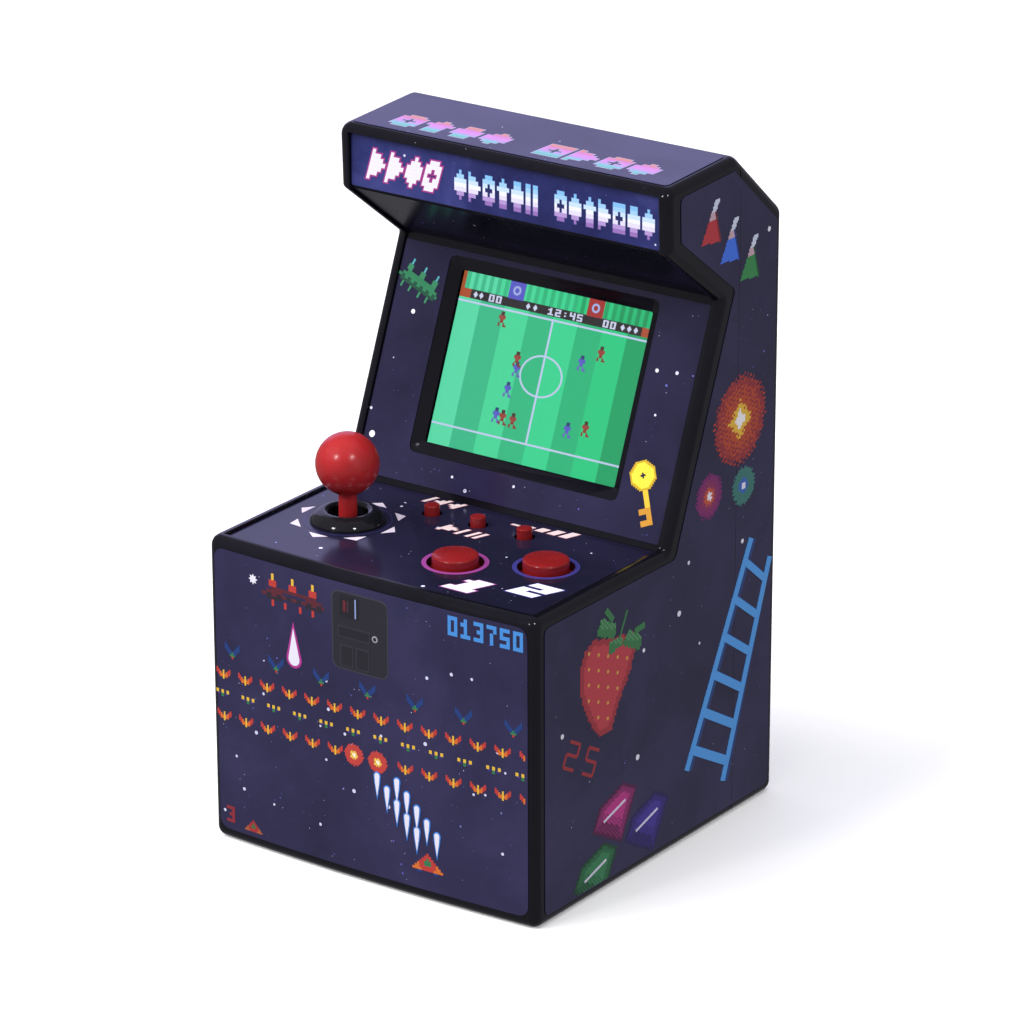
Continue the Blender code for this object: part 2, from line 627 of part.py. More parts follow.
def make_joystick_base(black, glossy, board, switch):
    ring = [
        (4.4, 72.9), (5.6, 72.9), (5.6, 73.8), (8.6, 73.8), (8.75, 74.2), (8.4, 75.1), (7.6, 75.9),
        (6.4, 76.35), (5.2, 76.4), (4.6, 76.15), (4.4, 75.6),
    ]
    make_object("joystick_dust_ring", turned(ring, (*STICK, 0), 28), glossy)
    cup_top = DECK_UNDERSIDE - GAP
    cup = [(9.1, cup_top), (10.6, cup_top), (10.6, 61.6), (5.4, 61.6), (5.4, 62.8), (9.1, 62.8)]
    housing = make_object("joystick_housing", turned(cup, (*STICK, 0), 32), black)
    bearing = cylinder((STICK[0], STICK[1] - 15, STICK_PIVOT_Z), 30.0, BEARING_RADIUS, "y", 10)
    boolean(housing, "bearings", bearing)
    feet = [add(STICK, (cos(radians(turn)), sin(radians(turn))), 9.0) for turn in (48, 138, 228, 318)]
    boolean(housing, "legs", joined(*[cylinder((*foot, 56.4), 5.6, 1.1, "z", 8) for foot in feet]), "UNION")
    outline = circle(STICK, 10.6, 32)
    make_object("joystick_board", plate(outline, 55.0, 56.1), board)
    near, far = SWITCH_REACH
    for name, (dx, dy) in {"right": (1, 0), "left": (-1, 0), "back": (0, 1), "front": (0, -1)}.items():
        half_x, half_y = SWITCH_HALF * abs(dy), SWITCH_HALF * abs(dx)
        low = (STICK[0] + min(dx * near, dx * far) - half_x, STICK[1] + min(dy * near, dy * far) - half_y)
        high = (STICK[0] + max(dx * near, dx * far) + half_x, STICK[1] + max(dy * near, dy * far) + half_y)
        make_object(f"joystick_switch_{name}", box((*low, SWITCH_Z[0]), (*high, SWITCH_Z[1])), switch)


# ---------------------------------------------------------------- buttons

def make_action_buttons(red, rubber):
    for name, place in ACTION_BUTTONS.items():
        rim = ACTION_TOP - 0.45
        cap = [
            (0, 69.0), (2.2, 69.0), (2.2, 70.4), (7.3, 70.4), (7.3, 71.7), (ACTION_RADIUS, 71.7),
            (ACTION_RADIUS, rim - 0.5), (ACTION_RADIUS - 0.15, rim - 0.15), (ACTION_RADIUS - 0.5, rim),
            (ACTION_RADIUS * 0.6, ACTION_TOP - 0.12), (0, ACTION_TOP),
        ]
        make_object(name, turned(cap, (*place, 0), 24), red, (*place, 72.0))
        foot = BOARD_TOP + 0.1
        dome = [(0, 68.6), (2.2, 68.6), (2.6, 68.0), (3.9, 66.9), (5.0, 66.7), (5.0, foot), (0, foot)]
        make_object(f"{name}_dome", turned(dome, (*place, 0), 16), rubber)


def make_menu_buttons(red, switch):
    for name, place in MENU_BUTTONS.items():
        cap = [
            (0, 68.6), (0.9, 68.6), (0.9, 70.8), (2.9, 70.8), (2.9, 71.8), (MENU_RADIUS, 71.8),
            (MENU_RADIUS, MENU_TOP - 0.4), (MENU_RADIUS - 0.3, MENU_TOP - 0.1), (0, MENU_TOP),
        ]
        make_object(name, turned(cap, (*place, 0), 14), red, (*place, 72.0))
        outline = rectangle(2.6, 2.6, 0.3, place, 1)
        base = make_object(name.replace("button", "switch"), plate(outline, BOARD_TOP + 0.1, 69.6), switch)
        boolean(base, "plunger_well", cylinder((*place, 67.2), 5.0, 1.3, "z", 12))


# ---------------------------------------------------------------- power and sound

def cell_shape(z, direction):
    """One cell lying along X, with its positive end on the side that direction names."""
    tip = CONTACT_X - 0.5
    shoulder, far = tip - 1.3, tip - CELL_LENGTH
    profile = [
        (0, far), (CELL_RADIUS - 0.5, far), (CELL_RADIUS, far + 0.4), (CELL_RADIUS, shoulder - 0.4),
        (CELL_RADIUS - 0.5, shoulder), (2.75, shoulder), (2.75, tip), (0, tip),
    ]
    flipped = [(radius, direction * along) for radius, along in profile]
    return turned(flipped, (0, CELL_Y, z), 16, "x")


def coil(start, end, base_radius, tip_radius, centre, wire, turns=4, steps=8, sides=4):
    """A conical spring along X as a swept wire."""
    rings = []
    for k in range(turns * steps + 1):
        part = k / (turns * steps)
        turn, radius = turn_angle(k, steps), base_radius + (tip_radius - base_radius) * part
        x = start + (end - start) * part
        ring = []
        for side in range(sides):
            angle = 2 * pi * side / sides
            reach = radius + wire * cos(angle)
            ring.append((x + wire * sin(angle), centre[0] + reach * cos(turn), centre[1] + reach * sin(turn)))
        rings.append(ring)
    return loft(rings)


def make_batteries(sleeve, metal):
    for number in range(3):
        z = CELL_MIDDLE_Z + (number - 1) * CELL_PITCH
        direction = 1 if number % 2 == 0 else -1
        make_object(f"battery_cell_{number + 1}", cell_shape(z, direction), sleeve)
        wire = 0.35
        far = direction * (CONTACT_X - 0.5 - CELL_LENGTH)
        start, end = -direction * (CONTACT_X - 0.3 - wire), far - direction * (0.3 + wire)
        spring = coil(start, end, 4.4, 2.6, (CELL_Y, z), wire)
        make_object(f"battery_spring_{number + 1}", spring, metal)
    half_y, low_y = 4.6, CELL_Y - 4.6
    top = CELL_MIDDLE_Z + CELL_PITCH
    bottom = CELL_MIDDLE_Z - CELL_PITCH
    plates = {
        "battery_contact_plus": (1, bottom - 4.6, bottom + 2.2),
        "battery_contact_link_right": (1, CELL_MIDDLE_Z - 4.6, top + 4.6),
        "battery_contact_link_left": (-1, bottom - 4.6, CELL_MIDDLE_Z + 4.6),
        "battery_contact_minus": (-1, top - 4.6, top + 4.6),
    }
    for name, (side, low_z, high_z) in plates.items():
        xs = sorted((side * (CONTACT_X - 0.15), side * (CONTACT_X + 0.2)))
        make_object(name, box((xs[0], low_y, low_z), (xs[1], low_y + 2 * half_y, high_z)), metal)


def make_battery_door(plastic, steel):
    back = FOOT_BACK[0]
    inner = back - DOOR_THICKNESS + GAP - 0.1
    origin = (0.0, back, sum(DOOR_Z) / 2)
    outline = rectangle(DOOR_HALF_X, (DOOR_Z[1] - DOOR_Z[0]) / 2, 1.8, (0.0, sum(DOOR_Z) / 2))
    rings = [[(x, y, z) for x, z in outline] for y in (inner, back - 0.05)]
    door = make_object("battery_door", loft(rings), plastic, origin)
    seat = [(0, -10.0), (1.5, -10.0), (1.5, -0.9), (2.4, -0.9), (2.4, 5.0), (0, 5.0)]
    boolean(door, "screw_seat", turned(seat, (0.0, back, DOOR_SCREW_Z), 14, "y"))
    for number in range(3):
        z = 18.0 + 3.0 * number
        groove = box((-9.0, back - 0.6, z - 0.6), (9.0, back + 1, z + 0.6))
        boolean(door, f"grip_{number}", groove)
    make_screw("battery_door_screw", (0.0, back - 0.8, DOOR_SCREW_Z), 2.0, 0.7, 1.0, 7.0, steel)


def make_screw(name, seat, head_radius, head_height, shank_radius, length, steel):
    """A pan-head screw that points along -Y from its seat, with a cross recess in its head."""
    profile = [
        (0, -length), (shank_radius * 0.4, -length), (shank_radius, -length + 1.5), (shank_radius, 0.0),
        (head_radius, 0.0), (head_radius, head_height * 0.5), (head_radius * 0.7, head_height),
        (0, head_height),
    ]
    screw = make_object(name, turned(profile, seat, 12, "y"), steel, seat)
    width, reach = head_radius * 0.14, head_radius * 0.55
    low, high = seat[1] + head_height * 0.45, seat[1] + head_height + 1
    across = box((seat[0] - reach, low, seat[2] - width), (seat[0] + reach, high, seat[2] + width))
    upright = box((seat[0] - width, low, seat[2] - reach), (seat[0] + width, high, seat[2] + reach))
    boolean(screw, "cross_bar", across)
    boolean(screw, "cross_upright", upright)


def make_case_screws(steel):
    for number, (x, z) in enumerate(CASE_SCREWS):
        make_screw(f"case_screw_{number + 1}", (x, SCREW_SEAT_Y + 0.1, z), 2.5, 1.8, 1.15, 14.0, steel)


def make_power_switch(black, metal):
    back = FOOT_BACK[0]
    x, z = SWITCH
    left = x - SWITCH_TRAVEL / 2
    knob = rectangle(2.2, 1.5, 0.4, (left, z), 2)
    rings = [[(a, y, b) for a, b in knob] for y in (44.9, back - 0.3)]
    slider = make_object("power_switch_slider", loft(rings), black, (left, back, z))
    for number in range(3):
        ridge = left - 1.2 + 1.2 * number
        groove = box((ridge - 0.25, back - 0.7, z - 3), (ridge + 0.25, back + 1, z + 3))
        boolean(slider, f"groove_{number}", groove)
    body = make_object("power_switch_body", box((x - 6.0, 39.5, z - 3.4), (x + 6.0, 46.6, z + 3.4)), metal)
    reach = SWITCH_TRAVEL / 2 + 2.2 + GAP
    boolean(body, "track", box((x - reach, 43.5, z - 1.9), (x + reach, 50.0, z + 1.9)))


def make_speaker(metal, paper, magnet):
    centre = (0.0, 0.0, SPEAKER_Z)
    rim = [
        (10.9, 46.7), (SPEAKER_RADIUS, 46.7), (SPEAKER_RADIUS, 45.9), (11.9, 45.6), (7.0, 42.3),
        (4.6, 42.3), (4.6, 42.9), (6.6, 42.9), (10.9, 45.9),
    ]
    make_object("speaker_frame", turned(rim, centre, 24, "y"), metal)
    cone = [
        (0, 43.4), (4.2, 43.4), (6.2, 43.4), (10.2, 46.0), (10.2, 46.4), (6.0, 43.9), (3.6, 43.9),
        (2.4, 44.9), (0, 45.3),
    ]
    make_object("speaker_cone", turned(cone, centre, 24, "y"), paper)
    drum = [(0, 37.0), (7.6, 37.0), (8.0, 37.4), (8.0, 41.6), (7.6, 42.0), (0, 42.0)]
    make_object("speaker_magnet", turned(drum, centre, 24, "y"), magnet)


# ---------------------------------------------------------------- the object

def build():
    clear_scene()
    black = material("casing_black", (0.012, 0.012, 0.015), 0.22)
    film = material("printed_film", (0.035, 0.032, 0.075), 0.18)
    red = material("button_red", (0.55, 0.02, 0.025), 0.3)
    glossy = material("ring_black", (0.01, 0.01, 0.012), 0.12)
    inner_plastic = material("inner_plastic", (0.03, 0.03, 0.032), 0.5)
    glass = material("window_clear", (0.9, 0.92, 0.95), 0.05, alpha=0.35)
    picture = material("screen_picture", (0.06, 0.45, 0.25), 0.2)
    board = material("board_green", (0.02, 0.16, 0.06), 0.45)
    chip = material("chip_epoxy", (0.01, 0.01, 0.01), 0.35)
    ribbon = material("ribbon_amber", (0.45, 0.2, 0.04), 0.35)
    steel = material("steel", (0.55, 0.55, 0.57), 0.3, 1.0)
    rubber = material("dome_rubber", (0.6, 0.6, 0.58), 0.7)
    sleeve = material("cell_sleeve", (0.05, 0.14, 0.3), 0.35)
    paper = material("cone_paper", (0.04, 0.04, 0.04), 0.8)

    make_front_shell(black)
    make_rear_shell(black)
    film_on_front(film)
    film_on_deck(film)
    film_on_screen_panel(film)
    film_under_hood(film)
    film_on_marquee(film)
    film_on_roof(film)
    film_on_side("right_side_graphic", 1, film)
    film_on_side("left_side_graphic", -1, film)
    make_screen(glass, picture, steel, board, chip, ribbon)
    make_control_board(board)
    make_stick(red, inner_plastic)
    make_joystick_base(inner_plastic, glossy, board, inner_plastic)
    make_action_buttons(red, rubber)
    make_menu_buttons(red, inner_plastic)
    make_batteries(sleeve, steel)
    make_battery_door(black, steel)
    make_case_screws(steel)
    make_power_switch(inner_plastic, steel)
    make_speaker(steel, paper, steel)


build()
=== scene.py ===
"""Looks for a palm-sized bartop arcade cabinet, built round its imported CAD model.

Lengths are in millimetres unless a name says otherwise, and become metres where a mesh is made.
+Z is up, the player sits at -Y, and +X is the player's right.
"""

import json
import random
from math import atan2, cos, hypot, pi, radians, sin, sqrt, tau

import bmesh
import bpy
from mathutils import Matrix, Vector


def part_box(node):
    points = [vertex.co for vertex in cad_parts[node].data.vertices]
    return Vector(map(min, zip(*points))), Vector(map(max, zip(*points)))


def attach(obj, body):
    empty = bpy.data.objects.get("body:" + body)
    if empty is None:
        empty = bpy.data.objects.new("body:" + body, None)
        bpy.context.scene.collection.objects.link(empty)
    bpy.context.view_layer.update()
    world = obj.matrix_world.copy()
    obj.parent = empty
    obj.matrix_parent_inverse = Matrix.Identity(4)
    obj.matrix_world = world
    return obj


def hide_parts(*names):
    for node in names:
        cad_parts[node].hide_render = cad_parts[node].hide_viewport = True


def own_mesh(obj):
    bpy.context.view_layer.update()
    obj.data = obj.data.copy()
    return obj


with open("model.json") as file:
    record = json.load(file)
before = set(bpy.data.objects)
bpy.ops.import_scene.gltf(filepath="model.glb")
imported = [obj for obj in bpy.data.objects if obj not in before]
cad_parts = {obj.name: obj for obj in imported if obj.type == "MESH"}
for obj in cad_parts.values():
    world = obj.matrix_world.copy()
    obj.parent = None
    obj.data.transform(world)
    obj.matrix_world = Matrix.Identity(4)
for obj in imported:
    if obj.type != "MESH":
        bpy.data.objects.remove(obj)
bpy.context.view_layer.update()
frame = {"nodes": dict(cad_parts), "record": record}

MM = 0.001


def box_mm(node):
    """Lowest and highest corner of a CAD node, in millimetres."""
    low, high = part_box(node)
    return low / MM, high / MM


def middle_mm(node):
    low, high = box_mm(node)
    return (low + high) / 2


def joint_place(name):
    """Where a hinge's axis passes, in millimetres."""
    joint = next(joint for joint in frame["record"]["behaviour"]["joints"] if joint["name"] == name)
    return Vector(joint["pos_m"]) / MM


FRONT_HIGH = box_mm("front_shell")[1]
REAR_LOW, REAR_HIGH = box_mm("rear_shell")
DECK_HIGH = box_mm("deck_graphic")[1]
MARQUEE_LOW, MARQUEE_HIGH = box_mm("marquee_graphic")
STICK = joint_place("joystick_sideways")
BALL_LOW, BALL_HIGH = box_mm("joystick_ball")
RING_HIGH = box_mm("joystick_dust_ring")[1]
FILM_HIGH = box_mm("front_graphic")[1]

# ---------------------------------------------------------------- casing dimensions

HALF_WIDTH = FRONT_HIGH.x
HEIGHT = 160.0
BACK_Y = REAR_HIGH.y
DECK_Z = DECK_HIGH.z + 0.68        # plane of the rims round the deck
HOOD_INNER = (24.55, 127.4)        # (y, z) where the screen panel meets the hood's underside
HOOD_LIP = (3.05, 143.6)           # foot of the marquee
DECK_BACK = (3.25, DECK_Z)         # where the deck meets the screen panel
SIDE_OUTLINE = (                   # clockwise from the foot of the front
    (-47.25, 0.0), (-47.75, DECK_Z), DECK_BACK, HOOD_INNER, HOOD_LIP,
    (2.45, HEIGHT - 1.15), (30.15, HEIGHT), (BACK_Y, 143.1), (BACK_Y, 0.0),
)
SIDE_RADII = (2.6, 2.6, 0.8, 0.8, 1.4, 2.8, 2.8, 2.8, 2.6)
FRONT_BOW = 1.5                    # how far the middle of the front stands out
FRONT_ZONE = -40.0                 # only what lies in front of this y is bowed
EDGE_RADIUS = 2.2
WALL = 2.2
PARTING_Y = (FRONT_HIGH.y + REAR_LOW.y) / 2
SEAM = 0.15                        # half the gap between the two shells
RECESS = 0.85                      # depth of the printed faces below the rims
RECESS_SIDE = 2.75                 # width of the rims at both sides
DECK_LIP = 3.1                     # width of the rim along the deck's front edge
RIM_ROUND = 0.3
FILM = 0.12                        # thickness of the front film
FILM_GAP = 0.05                    # between the front film and the casing
FILM_CORNER = 2.6
MARQUEE_TOP = MARQUEE_HIGH.z + 0.25
LEAN = atan2(HOOD_INNER[0] - DECK_BACK[0], HOOD_INNER[1] - DECK_BACK[1])
SCREEN_MIDDLE = 31.3               # distance up the screen panel from the deck
SCREEN_HALF = (26.2, 20.0)
FRAME_HALF = (29.0, 23.1)
OPENING_DEPTH = 3.2                # from the rims' plane down to the window
BOSS_DEPTH = 4.1
STICK_HOLE = 6.0
ACTION_HOLE = 6.4
MENU_HOLE = 2.3
ACTION_BUTTONS = ("button_a", "button_b")
MENU_BUTTONS = ("reset_button", "start_button", "volume_button")
CASE_SCREWS = ("case_screw_1", "case_screw_2", "case_screw_3", "case_screw_4")
SPEAKER = middle_mm("speaker_frame")
GRILLE_PITCH = 3.9
GRILLE_HOLE = 1.3
GRILLE_RADIUS = 9.0
PAST = 5.0                         # how far a cutting shape reaches past what it cuts


# ---------------------------------------------------------------- plain geometry

def add(point, step, amount=1.0):
    return tuple(a + b * amount for a, b in zip(point, step))


def inset_outline(points, insets):
    """Moves each edge of a clockwise outline inwards; insets[k] belongs to the edge that leaves point k."""
    lines = []
    for k, start in enumerate(points):
        end = points[(k + 1) % len(points)]
        length = hypot(end[0] - start[0], end[1] - start[1])
        along = ((end[0] - start[0]) / length, (end[1] - start[1]) / length)
        lines.append((add(start, (along[1], -along[0]), insets[k]), along))
    moved = []
    for k in range(len(points)):
        (p, d), (q, e) = lines[k - 1], lines[k]
        step = ((q[0] - p[0]) * e[1] - (q[1] - p[1]) * e[0]) / (d[0] * e[1] - d[1] * e[0])
        moved.append(add(p, d, step))
    return moved


def rounded(points, radii, steps=6):
    """Replaces each corner of an outline with an arc of steps + 1 points."""
    result = []
    for k, corner in enumerate(points):
        before, after = points[k - 1], points[(k + 1) % len(points)]
        a = atan2(before[1] - corner[1], before[0] - corner[0])
        b = atan2(after[1] - corner[1], after[0] - corner[0])
        half = ((b - a + pi) % tau - pi) / 2
        reach = radii[k] / abs(sin(half))
        centre = add(corner, (cos(a + half), sin(a + half)), reach)
        sweep = (pi / 2 - abs(half)) * (1 if half > 0 else -1)
        for n in range(steps + 1):
            turn = a + half + pi + sweep * (1 - 2 * n / steps)
            result.append(add(centre, (cos(turn), sin(turn)), radii[k]))
    return result


def rectangle(half_x, half_y, radius, centre=(0.0, 0.0), steps=5):
    corners = [(-half_x, -half_y), (-half_x, half_y), (half_x, half_y), (half_x, -half_y)]
    return rounded([add(corner, centre) for corner in corners], [radius] * 4, steps)


def turn_angle(k, steps):
    return tau * (k + 0.37) / steps


def ellipse(centre, radius_u, radius_v, steps=24):
    return [(centre[0] + radius_u * cos(tau * k / steps), centre[1] + radius_v * sin(tau * k / steps))
            for k in range(steps)]


def bow(x):
    return FRONT_BOW * max(0.0, 1 - (x / HALF_WIDTH) ** 2)


def bowed(points, x):
    return [(y - bow(x) if y < FRONT_ZONE else y, z) for y, z in points]


def on_screen_panel(x, up, depth):
    """A point given across, up the leaning screen panel, and behind the plane of its rims."""
    y = DECK_BACK[0] + up * sin(LEAN) + depth * cos(LEAN)
    z = DECK_BACK[1] + up * cos(LEAN) - depth * sin(LEAN)
    return x, y, z


def loft(rings, closed=False):
    """Joins rings of equally many points with quads, and caps the ends or closes the loop."""
    count = len(rings[0])
    vertices = [point for ring in rings for point in ring]
    faces = []
    for row in range(len(rings) if closed else len(rings) - 1):
        low, high = row * count, (row + 1) % len(rings) * count
        for k in range(count):
            following = (k + 1) % count
            faces.append((low + k, low + following, high + following, high + k))
    if not closed:
        faces.append(tuple(reversed(range(count))))
        faces.append(tuple(range(len(vertices) - count, len(vertices))))
    return vertices, faces


def joined(*shapes):
    vertices, faces = [], []
    for more_vertices, more_faces in shapes:
        faces += [tuple(k + len(vertices) for k in face) for face in more_faces]
        vertices += more_vertices
    return vertices, faces


def box(low, high):
    ring = [(low[0], low[1]), (high[0], low[1]), (high[0], high[1]), (low[0], high[1])]
    return loft([[(x, y, z) for x, y in ring] for z in (low[2], high[2])])


def slab(low_y, high_y):
    """A block that reaches past the casing on all sides, between two planes across its depth."""
    return box((-60, low_y, -10), (60, high_y, 180))


def plate_across(outline, low_y, high_y):
    """A plate parallel to the back, from its (x, z) outline."""
    return loft([[(x, y, z) for x, z in outline] for y in (low_y, high_y)])


def turned(profile, centre, steps=64, axis="z"):
    """Turns (radius, height) points about an axis; a profile that starts and ends off the axis is a ring."""
    def place(radius, height, turn):
        a, b = radius * cos(turn), radius * sin(turn)
        return add(centre, (a, height, b) if axis == "y" else (a, b, height))

    if profile[0][0] > 0:
        rings = [[place(r, h, turn_angle(k, steps)) for r, h in profile] for k in range(steps)]
        return loft(rings, closed=True)
    middle = [[place(r, h, turn_angle(k, steps)) for k in range(steps)] for r, h in profile[1:-1]]
    vertices, faces = loft(middle)
    faces = faces[:-2]
    last = len(vertices) - steps
    vertices += [place(0, profile[0][1], 0), place(0, profile[-1][1], 0)]
    for k in range(steps):
        following = (k + 1) % steps
        faces.append((len(vertices) - 2, following, k))
        faces.append((len(vertices) - 1, last + k, last + following))
    return vertices, faces


def cylinder(start, length, radius, axis="z", steps=48):
    return turned([(0, 0), (radius, 0), (radius, length), (0, length)], start, steps, axis)


def arc(centre, radius, start, end, steps):
    """Points of an arc of (radius, height) pairs between two angles in degrees."""
    turns = [radians(start + (end - start) * k / steps) for k in range(steps + 1)]
    return [(centre[0] + radius * cos(t), centre[1] + radius * sin(t)) for t in turns]


# ---------------------------------------------------------------- objects

def make_piece(name, shape, surface=None, smooth_below=32, merge=True):
    """Makes an object from (vertices, faces) in millimetres; merge joins vertices that coincide."""
    vertices, faces = shape
    mesh = bpy.data.meshes.new(name)
    mesh.from_pydata([tuple(c * MM for c in v) for v in vertices], [], faces)
    work = bmesh.new()
    work.from_mesh(mesh)
    if merge:
        bmesh.ops.remove_doubles(work, verts=work.verts, dist=1e-7)
    bmesh.ops.recalc_face_normals(work, faces=work.faces)
    work.to_mesh(mesh)
    work.free()
    made = bpy.data.objects.new(name, mesh)
    bpy.context.scene.collection.objects.link(made)
    if surface:
        mesh.materials.append(surface)
    shade(made, smooth_below)
    return made


def shade(piece, smooth_below=32):
    piece.data.shade_smooth()
    piece.data.set_sharp_from_angle(angle=radians(smooth_below))


def cut(target, *shapes):
    """Takes shapes away in turn by exact Booleans; a pair ("UNION", shape) is added instead."""
    cutters = []
    for shape in shapes:
        operation, shape = shape if shape[0] == "UNION" else ("DIFFERENCE", shape)
        cutter = make_piece(f"{target.name}_cutter", shape)
        modifier = target.modifiers.new("cut", "BOOLEAN")
        modifier.solver = "EXACT"
        modifier.operation = operation
        modifier.object = cutter
        cutters.append(cutter)
    evaluated = target.evaluated_get(bpy.context.evaluated_depsgraph_get())
    target.data = bpy.data.meshes.new_from_object(evaluated)
    target.modifiers.clear()
    for cutter in cutters:
        bpy.data.objects.remove(cutter, do_unlink=True)
    shade(target)


def even_normals(piece):
    """Lets the large flat faces keep their own normals beside small roundings."""
    modifier = piece.modifiers.new("even_normals", "WEIGHTED_NORMAL")
    modifier.keep_sharp = True
    modifier.weight = 80


def stand_for(piece, node, body):
    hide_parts(node)
    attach(piece, body)


# ---------------------------------------------------------------- materials

def shader_of(material):
    return material.node_tree.nodes["Principled BSDF"]


def set_inputs(node, values):
    for name, value in values.items():
        node.inputs[name].default_value = value


def noise(material, scale, detail, roughness=0.5, distortion=0.0):
    """A noise texture in the object's own coordinates; scale is in cycles per metre."""
    nodes, links = material.node_tree.nodes, material.node_tree.links
    place = nodes.get("Texture Coordinate") or nodes.new("ShaderNodeTexCoord")
    texture = nodes.new("ShaderNodeTexNoise")
    set_inputs(texture, {"Scale": scale, "Detail": detail, "Roughness": roughness, "Distortion": distortion})
    links.new(place.outputs["Object"], texture.inputs["Vector"])
    return texture


def ramp(material, source, stops):
    """Turns a value into a colour through (position, colour) stops."""
    made = material.node_tree.nodes.new("ShaderNodeValToRGB")
    while len(made.color_ramp.elements) < len(stops):
        made.color_ramp.elements.new(0.5)
    for element, (position, colour) in zip(made.color_ramp.elements, stops):
        element.position = position
        element.color = (*colour, 1.0)
    material.node_tree.links.new(source, made.inputs["Fac"])
    return made.outputs["Color"]


def vary_roughness(material, low, high, scale):
    """Roughness that wanders between two values, as on handled plastic."""
    texture = noise(material, scale, 3.0, 0.6)
    spread = material.node_tree.nodes.new("ShaderNodeMapRange")
    set_inputs(spread, {"From Min": 0.35, "From Max": 0.68, "To Min": low, "To Max": high})
    material.node_tree.links.new(texture.outputs["Fac"], spread.inputs["Value"])
    material.node_tree.links.new(spread.outputs["Result"], shader_of(material).inputs["Roughness"])


def grain(material, scale, depth_mm):
    """Fine relief from noise; scale is in cycles per metre."""
    texture = noise(material, scale, 2.0)
    bump = material.node_tree.nodes.new("ShaderNodeBump")
    set_inputs(bump, {"Distance": depth_mm * MM, "Strength": 0.35})
    material.node_tree.links.new(texture.outputs["Fac"], bump.inputs["Height"])
    material.node_tree.links.new(bump.outputs["Normal"], shader_of(material).inputs["Normal"])


def plain(name, colour, metallic=0.0, ior=1.5, roughness=0.3):
    made = bpy.data.materials.new(name)
    made.use_nodes = True
    set_inputs(shader_of(made), {
        "Base Color": (*colour, 1.0), "Metallic": metallic, "IOR": ior, "Roughness": roughness})
    return made


def mottled(name, dark, light, scale, roughness, relief, metallic=0.0):
    """A material whose colour, roughness and relief all wander.

    The two colours are its darkest and lightest, roughness is (least, most) and relief is
    (cycles per metre, depth in millimetres).
    """
    made = plain(name, light, metallic)
    colour = ramp(made, noise(made, scale, 4.0, 0.6).outputs["Fac"], [(0.36, dark), (0.66, light)])
    made.node_tree.links.new(colour, shader_of(made).inputs["Base Color"])
    vary_roughness(made, *roughness, scale * 1.7)
    grain(made, *relief)
    return made


def film_material(name, stops, scale=26.0, ior=1.5, dullness=0.0):
    """Gloss film printed with a night sky: drifts of colour over near black."""
    made = plain(name, stops[1][1], ior=ior)
    clouds = noise(made, scale, 6.0, 0.62, 0.4)
    sky = ramp(made, clouds.outputs["Fac"], stops)
    made.node_tree.links.new(sky, shader_of(made).inputs["Base Color"])
    vary_roughness(made, 0.12 + dullness, 0.20 + dullness, 60.0)
    grain(made, 700.0, 0.005)
    return made


RED = (0.32, 0.0150, 0.0175), (0.39, 0.0185, 0.0215)


def red_material(name, depth):
    """Glossy red plastic; a smaller depth is a darker red, which stands in for shade: painted shade."""
    dark, light = [tuple(c * depth for c in colour) for colour in RED]
    made = mottled(name, dark, light, 120.0, (0.20, 0.28), (1300.0, 0.005))
    set_inputs(shader_of(made), {"Subsurface Weight": 0.05, "Subsurface Scale": 0.0008})
    return made


def glass_material():
    made = plain("window_acrylic", (0.97, 0.98, 0.985), ior=1.46, roughness=0.03)
    set_inputs(shader_of(made), {"Transmission Weight": 1.0})
    vary_roughness(made, 0.015, 0.045, 90.0)
    return made


def lit(name, colour):
    """A colour on the screen, which gives its own light."""
    made = plain(name, (0.004, 0.004, 0.004), roughness=0.4)
    set_inputs(shader_of(made), {"Emission Color": (*colour, 1.0), "Emission Strength": 1.0})
    vary_roughness(made, 0.35, 0.45, 400.0)
    return made


def ink(name, colour):
    """Glossy printing ink, with the slight ripple of the film under it."""
    made = plain(name, colour)
    vary_roughness(made, 0.16, 0.30, 300.0)
    grain(made, 2200.0, 0.004)
    return made


def hexed(text):
    """Linear colour from a six-digit sRGB value."""
    channels = [int(text[k:k + 2], 16) / 255 for k in (0, 2, 4)]
    return tuple(c / 12.92 if c <= 0.04045 else ((c + 0.055) / 1.055) ** 2.4 for c in channels)


